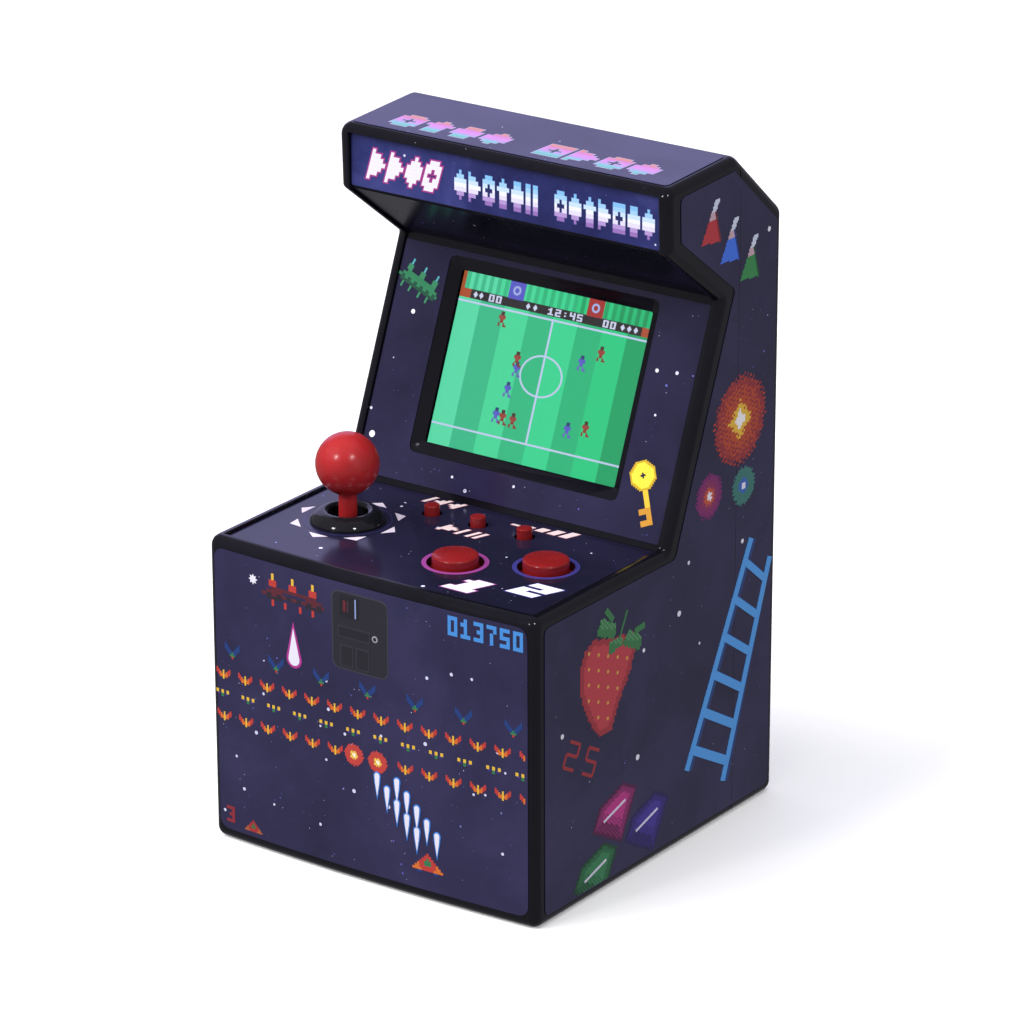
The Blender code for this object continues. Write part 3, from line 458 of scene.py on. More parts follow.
# What mottled() makes for each slot: name, two colours, cycles per metre, roughness, relief and metallic.
MOTTLED = {
    "casing": ("casing_abs", (0.0032, 0.0030, 0.0056), (0.0052, 0.0048, 0.0088), 45, (0.11, 0.19),
               (900, 0.008)),
    "circuit_board": ("board_green", (0.008, 0.070, 0.026), (0.015, 0.115, 0.045), 700, (0.30, 0.45),
                      (3000, 0.02)),
    "chip_epoxy": ("chip_epoxy", (0.006,) * 3, (0.014,) * 3, 500, (0.22, 0.38), (1200, 0.04)),
    "ribbon": ("ribbon_amber", (0.32, 0.13, 0.02), (0.46, 0.21, 0.04), 300, (0.25, 0.35), (1500, 0.01)),
    "inner_plastic": ("inner_plastic", (0.018, 0.018, 0.020), (0.032, 0.032, 0.035), 260, (0.42, 0.58),
                      (3200, 0.03)),
    "dome_rubber": ("dome_rubber", (0.46, 0.46, 0.44), (0.60, 0.60, 0.57), 300, (0.55, 0.75), (2500, 0.02)),
    "cell_sleeve": ("cell_sleeve", (0.030, 0.090, 0.22), (0.055, 0.14, 0.32), 90, (0.25, 0.40), (1500, 0.01)),
    "bright_steel": ("bright_steel", (0.42, 0.42, 0.44), (0.60, 0.60, 0.62), 600, (0.22, 0.42), (2500, 0.015),
                     1.0),
    "cone_paper": ("cone_paper", (0.025,) * 3, (0.055, 0.052, 0.048), 1800, (0.75, 0.90), (2600, 0.06)),
    "screen": ("lcd_glass", (0.006, 0.008, 0.008), (0.010, 0.012, 0.012), 300, (0.18, 0.26), (1500, 0.004)),
    "glossy_black": ("ring_black", (0.006, 0.006, 0.008), (0.010, 0.010, 0.013), 120, (0.05, 0.12),
                     (900, 0.006)),
}


# ---------------------------------------------------------------- casing

def casing_outline(inset):
    radii = []
    for corner, radius in zip(SIDE_OUTLINE, SIDE_RADII):
        hollow_corner = corner in (DECK_BACK, HOOD_INNER)
        radii.append(radius + inset if hollow_corner else max(radius - inset, 0.3))
    return rounded(inset_outline(SIDE_OUTLINE, [inset] * len(SIDE_OUTLINE)), radii)


def across_positions(half, count=12):
    return [half * (2 * k / count - 1) for k in range(count + 1)]


def casing_solid():
    """The casing's side outline carried across, with rounded edges at both sides."""
    arc_steps = 6
    stations = []
    for k in range(arc_steps + 1):
        turn = pi / 2 * k / arc_steps
        stations.append((HALF_WIDTH - EDGE_RADIUS * (1 - cos(turn)), EDGE_RADIUS * (1 - sin(turn))))
    left = [(-x, inset) for x, inset in stations]
    middle = [(x, 0.0) for x in across_positions(HALF_WIDTH - EDGE_RADIUS)[1:-1]]
    right = list(reversed(stations))
    return loft([[(x, y, z) for y, z in bowed(casing_outline(inset), x)]
                 for x, inset in left + middle + right])


def casing_hollow():
    half = HALF_WIDTH - WALL
    return loft([[(x, y, z) for y, z in bowed(casing_outline(WALL), x)] for x in across_positions(half)])


def film_recess():
    """The step down from the rims to the printed faces, with the rims' inner edges rounded."""
    half = HALF_WIDTH - RECESS_SIDE
    turns = [radians(t) for t in (0, 30, 60, 82)]
    clear_y, clear_z = -60.0, DECK_Z + 6.0

    def outline(depth, spread, first_turn):
        floors = inset_outline(SIDE_OUTLINE, [depth] * len(SIDE_OUTLINE))
        deck_back, hood_inner, hood_lip = floors[2:5]
        lip_y = SIDE_OUTLINE[1][0] + DECK_LIP
        shown = [max(turn, first_turn) for turn in turns]
        low_lip = [(lip_y - RIM_ROUND * (1 - cos(t)), DECK_Z - RIM_ROUND * (1 - sin(t))) for t in shown]
        rim_y = HOOD_LIP[0] - 0.53
        top_lip = [(rim_y + RIM_ROUND * (1 - sin(t)), MARQUEE_TOP + RIM_ROUND * (1 - cos(t))) for t in shown]
        if depth > RIM_ROUND:
            low_foot, top_foot = (lip_y, DECK_Z - depth), (hood_lip[0], MARQUEE_TOP)
        else:
            low_foot, top_foot = low_lip[0], top_lip[0]
        return [
            low_foot, deck_back, hood_inner, hood_lip, top_foot, *top_lip,
            (clear_y, top_lip[-1][1] + 0.2), (clear_y, clear_z), (low_lip[-1][0] - 0.02, clear_z),
            *reversed(low_lip),
        ]

    side = [(half, RECESS, 0.0), (half, RIM_ROUND, 0.0)]
    side += [(half + RIM_ROUND * (1 - cos(t)), RIM_ROUND * (1 - sin(t)), t) for t in turns[1:]]
    side.append((half + RIM_ROUND * (1 - cos(turns[-1])) + 0.01, -0.3, turns[-1]))
    left = [(-x, depth, turn) for x, depth, turn in reversed(side)]
    middle = [(x, RECESS, 0.0) for x in across_positions(half)[1:-1]]
    return loft([[(x, y, z) for y, z in bowed(outline(depth, x, turn), x)]
                 for x, depth, turn in left + middle + side])


def screen_frame_boss():
    outline = rectangle(FRAME_HALF[0] + 2.6, FRAME_HALF[1] + 2.6, 1.0, (0.0, SCREEN_MIDDLE))
    return loft([[on_screen_panel(x, up, depth) for x, up in outline] for depth in (WALL - 0.8, BOSS_DEPTH)])


def screen_opening():
    """A funnel from the panel's face down to the visible picture, then a rebate for the window."""
    middle = (0.0, SCREEN_MIDDLE)
    throat_half = (SCREEN_HALF[0] + 0.3, SCREEN_HALF[1] + 0.3)
    throat_depth = OPENING_DEPTH - 0.5
    flare = 1 + 1.0 / (throat_depth - RECESS)
    mouth_half = [inner + (outer - inner) * flare for inner, outer in zip(throat_half, FRAME_HALF)]
    mouth = rectangle(*mouth_half, 2.4, middle)
    throat = rectangle(*throat_half, 0.5, middle)
    rebate = rectangle(FRAME_HALF[0], FRAME_HALF[1], 0.8, middle)
    depths = [(mouth, RECESS - 1.0), (throat, throat_depth), (throat, OPENING_DEPTH)]
    depths += [(rebate, OPENING_DEPTH + 0.001), (rebate, BOSS_DEPTH + 2.0)]
    return loft([[on_screen_panel(x, up, depth) for x, up in ring] for ring, depth in depths])


def deck_holes():
    low = DECK_Z - WALL - PAST
    height = DECK_Z + PAST - low
    holes = [cylinder((STICK.x, STICK.y, low), height, STICK_HOLE)]
    for names, radius in ((ACTION_BUTTONS, ACTION_HOLE), (MENU_BUTTONS, MENU_HOLE)):
        for name in names:
            place = middle_mm(name)
            holes.append(cylinder((place.x, place.y, low), height, radius))
    return joined(*holes)


def make_front_casing(surface):
    casing = make_piece("front_casing", casing_solid(), surface)
    cut(casing, casing_hollow(), film_recess(), ("UNION", screen_frame_boss()), deck_holes(),
        screen_opening(), slab(PARTING_Y - SEAM, 80))
    even_normals(casing)
    stand_for(casing, "front_shell", "cabinet")


def grille_holes():
    """Round holes on a triangular grid within the loudspeaker's circle."""
    holes = []
    for row in range(-3, 4):
        for column in range(-4, 5):
            x = (column + (row % 2) / 2) * GRILLE_PITCH
            z = row * GRILLE_PITCH * sqrt(3) / 2
            if hypot(x, z) < GRILLE_RADIUS:
                holes.append(cylinder((x, 40.0, SPEAKER.z + z), 15.0, GRILLE_HOLE, "y", 24))
    return joined(*holes)


def make_rear_casing(surface):
    door_low, door_high = box_mm("battery_door")
    door_middle, door_gap = (door_low + door_high) / 2, 0.3
    door_seat = rectangle(door_high.x + door_gap, (door_high.z - door_low.z) / 2 + door_gap, 2.0,
                          (0.0, door_middle.z))
    bay_half, bay_low, bay_high, bay_floor, bay_wall = 29.2, 14.4, 59.6, 32.2, 1.5
    inner_face = BACK_Y - WALL + 0.6
    bay_shell = box((-bay_half - bay_wall, bay_floor - bay_wall, bay_low - bay_wall),
                    (bay_half + bay_wall, inner_face, bay_high + bay_wall))
    screws = [middle_mm(name) for name in CASE_SCREWS]
    door_screw = middle_mm("battery_door_screw")
    post_y = PARTING_Y + SEAM
    posts = [cylinder((p.x, post_y, p.z), inner_face - post_y, 3.9, "y") for p in screws]
    posts.append(cylinder((0.0, 40.0, door_screw.z), 7.3, 2.4, "y"))
    bores = [cylinder((p.x, 20.0, p.z), 40.0, 1.6, "y") for p in screws]
    bores.append(cylinder((0.0, 38.0, door_screw.z), 20.0, 1.3, "y"))
    seats = [cylinder((p.x, 38.0, p.z), 20.0, 2.9, "y") for p in screws]
    switch = middle_mm("power_switch_body")
    switch_slot = rectangle(4.1, 1.9, 0.5, (switch.x, switch.z))
    switch_dish = rectangle(5.5, 3.2, 1.2, (switch.x, switch.z))
    casing = make_piece("rear_casing", casing_solid(), surface)
    cut(
        casing, casing_hollow(), slab(-80, post_y), ("UNION", bay_shell),
        box((-bay_half, bay_floor, bay_low), (bay_half, BACK_Y + PAST, bay_high)),
        plate_across(door_seat, BACK_Y - 1.7, BACK_Y + PAST),
        ("UNION", joined(*posts)), joined(*bores), joined(*seats),
        plate_across(switch_dish, BACK_Y - 0.9, BACK_Y + PAST),
        plate_across(switch_slot, BACK_Y - 8, BACK_Y + PAST),
        grille_holes(),
    )
    even_normals(casing)
    stand_for(casing, "rear_shell", "cabinet")


def make_front_film(surface):
    """The front film again, with rounded corners and enough stations to follow the bow smoothly."""
    low, high = box_mm("front_graphic")
    (foot_y, foot_z), (head_y, head_z) = SIDE_OUTLINE[:2]
    lean = (head_y - foot_y) / (head_z - foot_z)
    straight = high.x - FILM_CORNER
    turns = [pi / 2 * k / 8 for k in range(1, 9)]
    right = [(straight + FILM_CORNER * sin(t), FILM_CORNER * (1 - cos(t))) for t in turns]
    stations = [(-x, trim) for x, trim in reversed(right)]
    stations += [(x, 0.0) for x in across_positions(straight, 24)] + right
    rings = []
    for x, trim in stations:
        (low_y, low_z), (high_y, high_z) = [
            (foot_y - FILM_GAP - bow(x) + lean * z, z) for z in (low.z + trim, high.z - trim)]
        rings.append([(x, low_y, low_z), (x, high_y, high_z),
                      (x, high_y - FILM, high_z), (x, low_y - FILM, low_z)])
    film = make_piece("front_film", loft(rings), surface)
    stand_for(film, "front_graphic", "cabinet")


# ---------------------------------------------------------------- joystick and buttons

def make_joystick(red, black):
    radius = (BALL_HIGH.x - BALL_LOW.x) / 2
    centre_z = BALL_HIGH.z - radius
    bore = 2.45
    top = centre_z - 1.2
    mouth = centre_z - sqrt(radius ** 2 - bore ** 2)
    ball = [(0, top + 0.3), (bore, top + 0.3), (bore, mouth + 0.25), (bore + 0.2, mouth + 0.02)]
    ball += arc((0, centre_z), radius, -67, 87, 40) + [(0, centre_z + radius)]
    piece = make_piece("stick_ball", turned(ball, (STICK.x, STICK.y, 0), 96), red)
    stand_for(piece, "joystick_ball", "joystick")

    low = RING_HIGH.z - 3.5
    ring = [(4.4, low), (5.6, low), (5.6, low + 0.9), (8.5, low + 0.9)]
    ring += arc((8.2, low + 1.45), 0.55, -50, 35, 6)
    ring += arc((5.5, low + 0.35), 3.45, 22, 92, 12)[1:]
    ring += arc((5.05, low + 2.95), 0.55, 105, 180, 6) + [(4.4, low + 1.8)]
    piece = make_piece("dust_ring", turned(ring, (STICK.x, STICK.y, 0), 128), black, 50)
    high = max(v.co.z for v in piece.data.vertices) / MM
    if high > RING_HIGH.z:
        piece.data.transform(Matrix.Translation((0, 0, (RING_HIGH.z - high) * MM)))
    stand_for(piece, "joystick_dust_ring", "cabinet")


def make_cap(name, stem, stem_length, flange, flange_height, radius, top, steps, red):
    """A button's cap on its stem, with the flange that keeps it under the deck.

    top gives the outline of the cap's upper part from the height of its crown.
    """
    low, high = box_mm(name)
    place, foot = (low + high) / 2, low.z
    under = foot + stem_length
    over = under + flange_height
    profile = [(0, foot), (stem, foot), (stem, under), (flange, under), (flange, over), (radius, over)]
    piece = make_piece(f"{name}_cap", turned(profile + top(high.z), (place.x, place.y, 0), steps), red)
    stand_for(piece, name, name)


def make_buttons(red):
    """Two large caps with a rounded rim and a low crown, and three small ones with a flat top."""
    radius, small, crown, edge = 5.3, 1.8, 0.45, 0.55

    def domed(top):
        rim = top - crown
        rise = [(radius * k / 12, rim + crown * (1 - (k / 12) ** 2)) for k in range(10, 0, -1)]
        return arc((radius - edge, rim - edge), edge, 0, 80, 8) + rise + [(0, top)]

    def flat(top):
        return arc((small - 0.35, top - 0.4), 0.35, 0, 85, 6) + [(0.7, top - 0.01), (0, top)]

    for name in ACTION_BUTTONS:
        make_cap(name, 2.2, 1.4, 7.3, 1.3, radius, domed, 96, red)
    for name in MENU_BUTTONS:
        make_cap(name, 0.9, 2.2, 2.9, 1.0, small, flat, 48, red)


def make_domes(rubber):
    """The rubber domes under the action buttons, which give way as the caps come down."""
    for name in ACTION_BUTTONS:
        low, high = box_mm(f"{name}_dome")
        place = ((low.x + high.x) / 2, (low.y + high.y) / 2, low.z)
        height, radius = high.z - low.z, (high.x - low.x) / 2
        profile = [(0, 0), (radius, 0), (radius, 0.6), (radius - 1.0, 0.8), (radius - 1.9, 1.3)]
        profile += [(2.5, height - 0.3), (2.2, height), (0, height)]
        piece = make_piece(f"{name}_rubber", turned(profile, place, 64), rubber, 50)
        stand_for(piece, f"{name}_dome", "cabinet")
        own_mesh(piece)


def make_screw(name, body, steel):
    """A round-headed screw with a cross recess, in the CAD screw's place."""
    low, high = box_mm(name)
    radius, middle = (high.x - low.x) / 2, (low + high) / 2
    height, shank = (0.7, 1.0) if radius < 2.2 else (1.8, 1.15)
    seat = high.y - height
    length = seat - low.y
    profile = [(0, -length), (shank * 0.4, -length), (shank, -length + 1.5), (shank, 0.0), (radius, 0.0)]
    turns = [pi / 2 * k / 8 for k in range(8)]
    profile += [(radius * cos(t), height * (0.45 + 0.55 * sin(t))) for t in turns] + [(0, height)]
    screw = make_piece(f"{name}_fine", turned(profile, (middle.x, seat, middle.z), 48, "y"), steel)
    width, reach, floor = radius * 0.14, radius * 0.55, seat + height * 0.4
    cut(screw, *[box((middle.x - a, floor, middle.z - b), (middle.x + a, seat + height + 1, middle.z + b))
                 for a, b in ((reach, width), (width, reach))])
    stand_for(screw, name, body)


# ---------------------------------------------------------------- printed artwork

INK_ROOT = -0.02          # how far ink reaches into the film, so that no faces coincide
INK_STEP = 0.035          # height of one layer of ink
HAIR = 0.006              # half the gap between neighbouring pixels of ink
AHEAD, RIGHTWARDS, UPWARDS, BACKWARDS = (0, -1, 0), (1, 0, 0), (0, 0, 1), (0, 1, 0)


class Panel:
    """A flat printed face of the CAD, with (u, v) places on it in millimetres."""

    def __init__(self, node, towards, across, up, origin, bend=None):
        towards = Vector(towards).normalized()
        faces = [face for face in frame["nodes"][node].data.polygons if face.normal.dot(towards) > 0.9]
        area = sum(face.area for face in faces)
        self.normal = sum((face.normal * face.area for face in faces), Vector()).normalized()
        offset = sum(face.center.dot(self.normal) * face.area for face in faces) / area / MM
        self.across = Vector(across)
        up = Vector(up)
        self.up = (up - self.normal * up.dot(self.normal)).normalized()
        origin = Vector(origin)
        self.origin = origin + self.normal * (offset - origin.dot(self.normal))
        self.bend = bend

    def at(self, u, v, lift):
        point = self.origin + self.across * u + self.up * v + self.normal * lift
        return tuple(point + self.bend(u) if self.bend else point)


INKS = {}


def ink_named(colour, glows):
    """The material for an sRGB colour, made once."""
    key = f"lit_{colour}" if glows else f"ink_{colour}"
    if key not in INKS:
        INKS[key] = lit(key, hexed(colour)) if glows else ink(key, hexed(colour))
    return INKS[key]


def inside(outline, u, v):
    """Whether a point lies within an outline, by counting crossings."""
    within = False
    for k, (u1, v1) in enumerate(outline):
        u0, v0 = outline[k - 1]
        if (v0 > v) != (v1 > v) and u < u0 + (v - v0) / (v1 - v0) * (u1 - u0):
            within = not within
    return within


def turned_place(centre, degrees, u, v):
    """A point given in a frame that stands at centre and is turned by some degrees."""
    turn = radians(degrees)
    return centre[0] + u * cos(turn) - v * sin(turn), centre[1] + u * sin(turn) + v * cos(turn)


class Print:
    """Collects thin closed pieces of ink on one panel and makes them one object."""

    def __init__(self, name, panel, glows=False):
        self.name, self.panel, self.glows = name, panel, glows
        self.vertices, self.faces, self.slots, self.colours = [], [], [], []

    def solid(self, shape, colour):
        if colour not in self.colours:
            self.colours.append(colour)
        vertices, faces = shape
        self.faces += [tuple(k + len(self.vertices) for k in face) for face in faces]
        self.vertices += vertices
        self.slots += [self.colours.index(colour)] * len(faces)

    def patch(self, outline, colour, layer=1):
        """One flat shape of ink from its (u, v) outline."""
        lifts = (INK_ROOT, INK_STEP * layer)
        self.solid(loft([[self.panel.at(u, v, lift) for u, v in outline] for lift in lifts]), colour)

    def bar(self, low, high, colour, layer=1, slant=0.0, about=0.0):
        """A rectangle between two corners; slant moves each height across by its share above about."""
        shift_low, shift_high = [slant * (v - about) for v in (low[1], high[1])]
        self.patch([(low[0] + shift_low, low[1]), (high[0] + shift_low, low[1]),
                    (high[0] + shift_high, high[1]), (low[0] + shift_high, high[1])], colour, layer)

    def line(self, start, end, width, colour, layer=1):
        length = hypot(end[0] - start[0], end[1] - start[1])
        side = ((start[1] - end[1]) / length, (end[0] - start[0]) / length)
        corners = ((start, 1), (start, -1), (end, -1), (end, 1))
        self.patch([add(place, side, width / 2 * way) for place, way in corners], colour, layer)

    def dot(self, centre, radius, colour, layer=1, steps=24):
        self.patch(ellipse(centre, radius, radius, steps), colour, layer)

    def ring(self, centre, radii, width, colour, layer=1, steps=64):
        """An elliptical ring whose outer edge has the two radii."""
        low, high = INK_ROOT, INK_STEP * layer
        outer = ellipse(centre, *radii, steps)
        inner = ellipse(centre, radii[0] - width, radii[1] - width, steps)
        corners = (0, low), (1, low), (1, high), (0, high)
        sections = [[self.panel.at(*edges[n], lift) for n, lift in corners] for edges in zip(outer, inner)]
        self.solid(loft(sections, closed=True), colour)

    def run(self, low, high, colour, layer=1, slant=0.0, about=0.0):
        """A run of pixels, a hair smaller all round so that it stays clear of the next."""
        self.bar(add(low, (HAIR, HAIR)), add(high, (-HAIR, -HAIR)), colour, layer, slant, about)

    def sprite(self, rows, centre, pixel, colours, layer=1, slant=0.0, edge=None):
        """Pixel artwork from rows of letters; colours maps a letter, or (letter, row), to a colour.

        An edge is (width, colour) and lies under the pixels, which then stand one layer higher. Its bars
        overlap, so each takes a slightly different height.
        """
        wide, tall = pixel
        left = centre[0] - max(len(row) for row in rows) * wide / 2
        top = centre[1] + len(rows) * tall / 2
        for number, row in enumerate(rows):
            start, rise = 0, 0.1 * (number % 2)
            while start < len(row):
                end = start
                while end < len(row) and row[end] == row[start]:
                    end += 1
                colour = colours.get((row[start], number)) or colours.get(row[start])
                if colour:
                    low = (left + start * wide, top - (number + 1) * tall)
                    high = (left + end * wide, top - number * tall)
                    if edge:
                        margin, edge_colour = (edge[0], edge[0]), edge[1]
                        outer_low, outer_high = add(low, margin, -1), add(high, margin)
                        self.bar(outer_low, outer_high, edge_colour, layer + rise, slant, centre[1])
                        rise = 0.3 - rise
                    self.run(low, high, colour, layer + (1 if edge else 0), slant, centre[1])
                start = end

    def tilted(self, cells, centre, degrees, wide, tall, layer=1):
        """Pixels (u, v, colour) in a frame that stands at centre and is turned by some degrees."""
        a, b = wide / 2 - HAIR, tall / 2 - HAIR
        for u, v, colour in cells:
            corners = [(u - a, v - b), (u + a, v - b), (u + a, v + b), (u - a, v + b)]
            self.patch([turned_place(centre, degrees, *corner) for corner in corners], colour, layer)

    def raster(self, centre, half, pixel, paint, layer=1):
        """Pixel artwork from a formula: paint(u, v) gives a colour or None at each pixel's middle."""
        columns, rows = int(half[0] / pixel), int(half[1] / pixel)
        for row in range(-rows, rows + 1):
            painted = [paint(column * pixel, row * pixel) for column in range(-columns, columns + 1)] + [None]
            start = 0
            for k in range(1, len(painted)):
                if painted[k] != painted[start]:
                    if painted[start]:
                        low = (centre[0] + (start - columns - 0.5) * pixel, centre[1] + (row - 0.5) * pixel)
                        high = (centre[0] + (k - columns - 0.5) * pixel, centre[1] + (row + 0.5) * pixel)
                        self.run(low, high, painted[start], layer)
                    start = k

    def stars(self, count, seed, area, busy=(), bright=13):
        """Small stars scattered over an area, away from the circles (u, v, radius) that are busy.

        The lower the number bright, the more of them are large.
        """
        chance = random.Random(seed)
        left, low, right, high = area
        for _ in range(count):
            u, v = chance.uniform(left, right), chance.uniform(low, high)
            radius = 0.08 + 0.42 * chance.random() ** bright
            colour = chance.choice(STAR_COLOURS if radius < 0.3 else STAR_COLOURS[:1])
            if all(hypot(u - a, v - b) > reach for a, b, reach in busy):
                self.dot((u, v), radius, colour, 0.5, 8 if radius < 0.2 else 14)

    def finish(self):
        made = make_piece(self.name, (self.vertices, self.faces), None, merge=False)
        for colour in self.colours:
            made.data.materials.append(ink_named(colour, self.glows))
        made.data.polygons.foreach_set("material_index", self.slots)
        made.visible_glossy = not self.glows    # the lit picture is not mirrored in the glossy deck
        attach(made, "cabinet")


STAR_COLOURS = ("D8D8F4", "8A8BD0", "6667BC", "5557A6", "4A4B94")

DIGITS = {
    "0": ("xxx", "x.x", "x.x", "x.x", "xxx"), "1": (".x.", "xx.", ".x.", ".x.", "xxx"),
    "2": ("xxx", "..x", "xxx", "x..", "xxx"), "3": ("xxx", "..x", ".xx", "..x", "xxx"),
    "4": ("x.x", "x.x", "xxx", "..x", "..x"), "5": ("xxx", "x..", "xxx", "..x", "xxx"),
    "7": ("xxx", "..x", ".x.", ".x.", ".x."), ":": ("...", ".x.", "...", ".x.", "..."),
}
BROAD_ONE = (".xxx.", "xxxx.", ".xxx.", ".xxx.", ".xxx.", "xxxxx", "xxxxx")
BROAD_TWO = ("xxxxx", "xxxxx", "...xx", "xxxxx", "xx...", "xxxxx", "xxxxx")


def draw_digits(page, text, left, middle_v, pixel, colour, layer=1):
    for k, digit in enumerate(text):
        centre = (left + (k * 4 + 1.5) * pixel[0], middle_v)
        page.sprite(DIGITS[digit], centre, pixel, {"x": colour}, layer)


# Symbols that stand where such a machine carries words: seven rows each.
SYMBOLS = (
    ("..x..", ".xxx.", "xxxxx", ".xxx.", ".xxx.", ".xxx.", ".xxx."),
    ("..x..", ".xxx.", "xxxxx", "xxxxx", "xxxxx", ".xxx.", "..x.."),
    ("xxxxx", "xxxxx", "xx.xx", "x...x", "xx.xx", "xxxxx", "xxxxx"),
    (".xxx.", "xxxxx", "xx.xx", "x...x", "xx.xx", "xxxxx", ".xxx."),
    (".xxx.", ".xxx.", "xxxxx", "xxxxx", "xxxxx", ".xxx.", ".xxx."),
    ("x....", "xxx..", "xxxx.", "xxxxx", "xxxx.", "xxx..", "x...."),
    ("xx.xx", "xx.xx", "xx.xx", "xx.xx", "xx.xx", "xx.xx", "xx.xx"),
)
CHROME = ("86C2F2", "A2D0F7", "CBE3FC", "F0F2FD", "E4DEF5", "B598D4", "9873BA")
SUNSET = ("B87870", "B66E92", "B672BC", "B87AC8", "A284C4", "6CA4B4", "60A0A4")


def draw_symbols(page, order, left, pitch, middle_v, height, palette, layer=1, slant=0.0, edge=None):
    """A row of symbols, each row of pixels in its own colour of the palette; None leaves a gap."""
    colours = {("x", row): palette[row] for row in range(7)}
    pixel = (pitch / 5.9, height / 7)
    for k, number in enumerate(order):
        if number is not None:
            centre = (left + (k + 0.5) * pitch, middle_v)
            page.sprite(SYMBOLS[number], centre, pixel, colours, layer, slant, edge)


SAUCER = """
....y.......y.......y....
....y.......y.......y....
...rrr.....rrr.....rrr...
...rrr.....rrr.....rrr...
....dddddddddddddddddd...
..dddddddddddddddddddddd.
ddkkddkkddkkddkkddkkddkkd
..kkkkkkkkkkkkkkkkkkkkkk.
....r....r.....r....r....
....r....r.....r....r....
""".split()
MOTH = """
b.......b
bb.....bb
bbb...bbb
.bbb.bbb.
..bbgbb..
...ggg...
....r....
""".split()
FLYER = """
r.......r
rr..y..rr
rro.y.orr
.rooyoor.
..ooyoo..
....y....
""".split()
SPARK = """
yy..yy..yy
yy..yy..yy
.pp.gg.pp.
....gg....
""".split()
FIGHTER = """
......r......
.....rrr.....
....rrgrr....
...rrgggrr...
..orrgggrro..
.oorrrrrrroo.
oooorrrrroooo
..bb.....bb..
""".split()
SHIP_COLOURS = {
    "y": "E8BC44", "r": "BE3F3A", "d": "5E2A34", "k": "312A36", "b": "26407E", "o": "D9702F",
    "g": "3A7A52", "p": "493A86",
}
DIM_COLOURS = {"r": "A03438", "g": "4A6A44", "o": "A85A38"}
PALE = "ECE9F8"


def front_bend():
    """Carries the ink from the front film's mean plane out to its bow."""
    mean_z = middle_mm("front_graphic").z
    (foot_y, foot_z), (head_y, head_z) = SIDE_OUTLINE[:2]
    face_y = foot_y + (head_y - foot_y) * (mean_z - foot_z) / (head_z - foot_z) - FILM_GAP - FILM
    flat = Panel("front_graphic", AHEAD, RIGHTWARDS, UPWARDS, (0, 0, 0))
    mean_bow = face_y - flat.at(0.0, mean_z, 0.0)[1]
    return lambda u: Vector((0, mean_bow - bow(u), 0))


def star_outline(centre, radius):
    """An eight-pointed star."""
    reaches = [radius if k % 2 == 0 else radius * 0.6 for k in range(16)]
    return [add(centre, (cos(tau * k / 16), sin(tau * k / 16)), reach) for k, reach in enumerate(reaches)]


def kept_on_film(rows, u, wide):
    """A sprite's rows, without the pixels that would lie past the front film's right edge."""
    keep = int((FILM_HIGH.x - 0.3 - u) / wide + len(rows[0]) / 2)
    return [row[:keep].ljust(len(row), ".") for row in rows]


def draw_front(page):
    """A saucer over rows of plain flying shapes, a coin door, a number, two bursts, streaks and a delta."""
    page.patch(star_outline((-31.7, 67.3), 1.3), PALE)
    page.sprite(SAUCER, (-20.2, 66.1), (0.72, 0.78), SHIP_COLOURS)
    for colour, radius, top, layer in (("B03A92", 2.2, 59.8, 1), (PALE, 1.584, 58.2, 2)):
        page.patch(arc((-20.1, 50.7), radius, -190, 10, 10) + [(-20.2, top)], colour, layer)
    draw_coin_door(page)
    draw_digits(page, "013750", 22.6, 69.0, (0.85, 0.93), "4A90DC")
    for k in range(7):
        page.sprite(MOTH, (-38.4 + 13.0 * k, 48.0), (0.5, 0.54), SHIP_COLOURS)
    for k in range(14):
        u = -41.2 + 6.5 * k
        flyer = kept_on_film(FLYER, u, 0.47)
        page.sprite(flyer, (u, 41.9), (0.47, 0.44), SHIP_COLOURS)
        if k not in (6, 7):
            page.sprite(flyer, (u, 31.6), (0.47, 0.44), SHIP_COLOURS)
    for k in range(12):
        u = -41.6 + 7.6 * k
        page.sprite(kept_on_film(SPARK, u, 0.38), (u, 37.0), (0.38, 0.42), SHIP_COLOURS)
    for centre in ((-3.4, 31.5), (3.2, 31.3)):
        draw_burst(page, centre, 2.75, 0.3, ("C4453F", "C4453F", "EFC653", "FBF6DC"), 31)
    for row in range(2):
        for k in range(5):
            draw_bolt(page, 3.0 + 5.45 * row + 2.7 * k, 29.1 - 2.68 * k)
    page.sprite(FIGHTER, (16.6, 9.9), (0.64, 0.62), SHIP_COLOURS)
    draw_digits(page, "3", -41.2, 7.2, (0.8, 0.8), "8C2E38")
    page.sprite(FIGHTER, (-33.2, 5.8), (0.4, 0.42), DIM_COLOURS)


def draw_bolt(page, u, top):
    """A falling streak: a round head that tapers to a point below it."""
    for colour, half, rise, length, layer in (("3F7FD6", 1.0, 0.0, 7.0, 3), (PALE, 0.68, 0.32, 6.0, 4)):
        tail = [(u - half * 0.8, top - 2.8), (u, top - length), (u + half * 0.8, top - 2.8)]
        page.patch(arc((u, top - rise - half), half, 0, 180, 6) + tail, colour, layer)


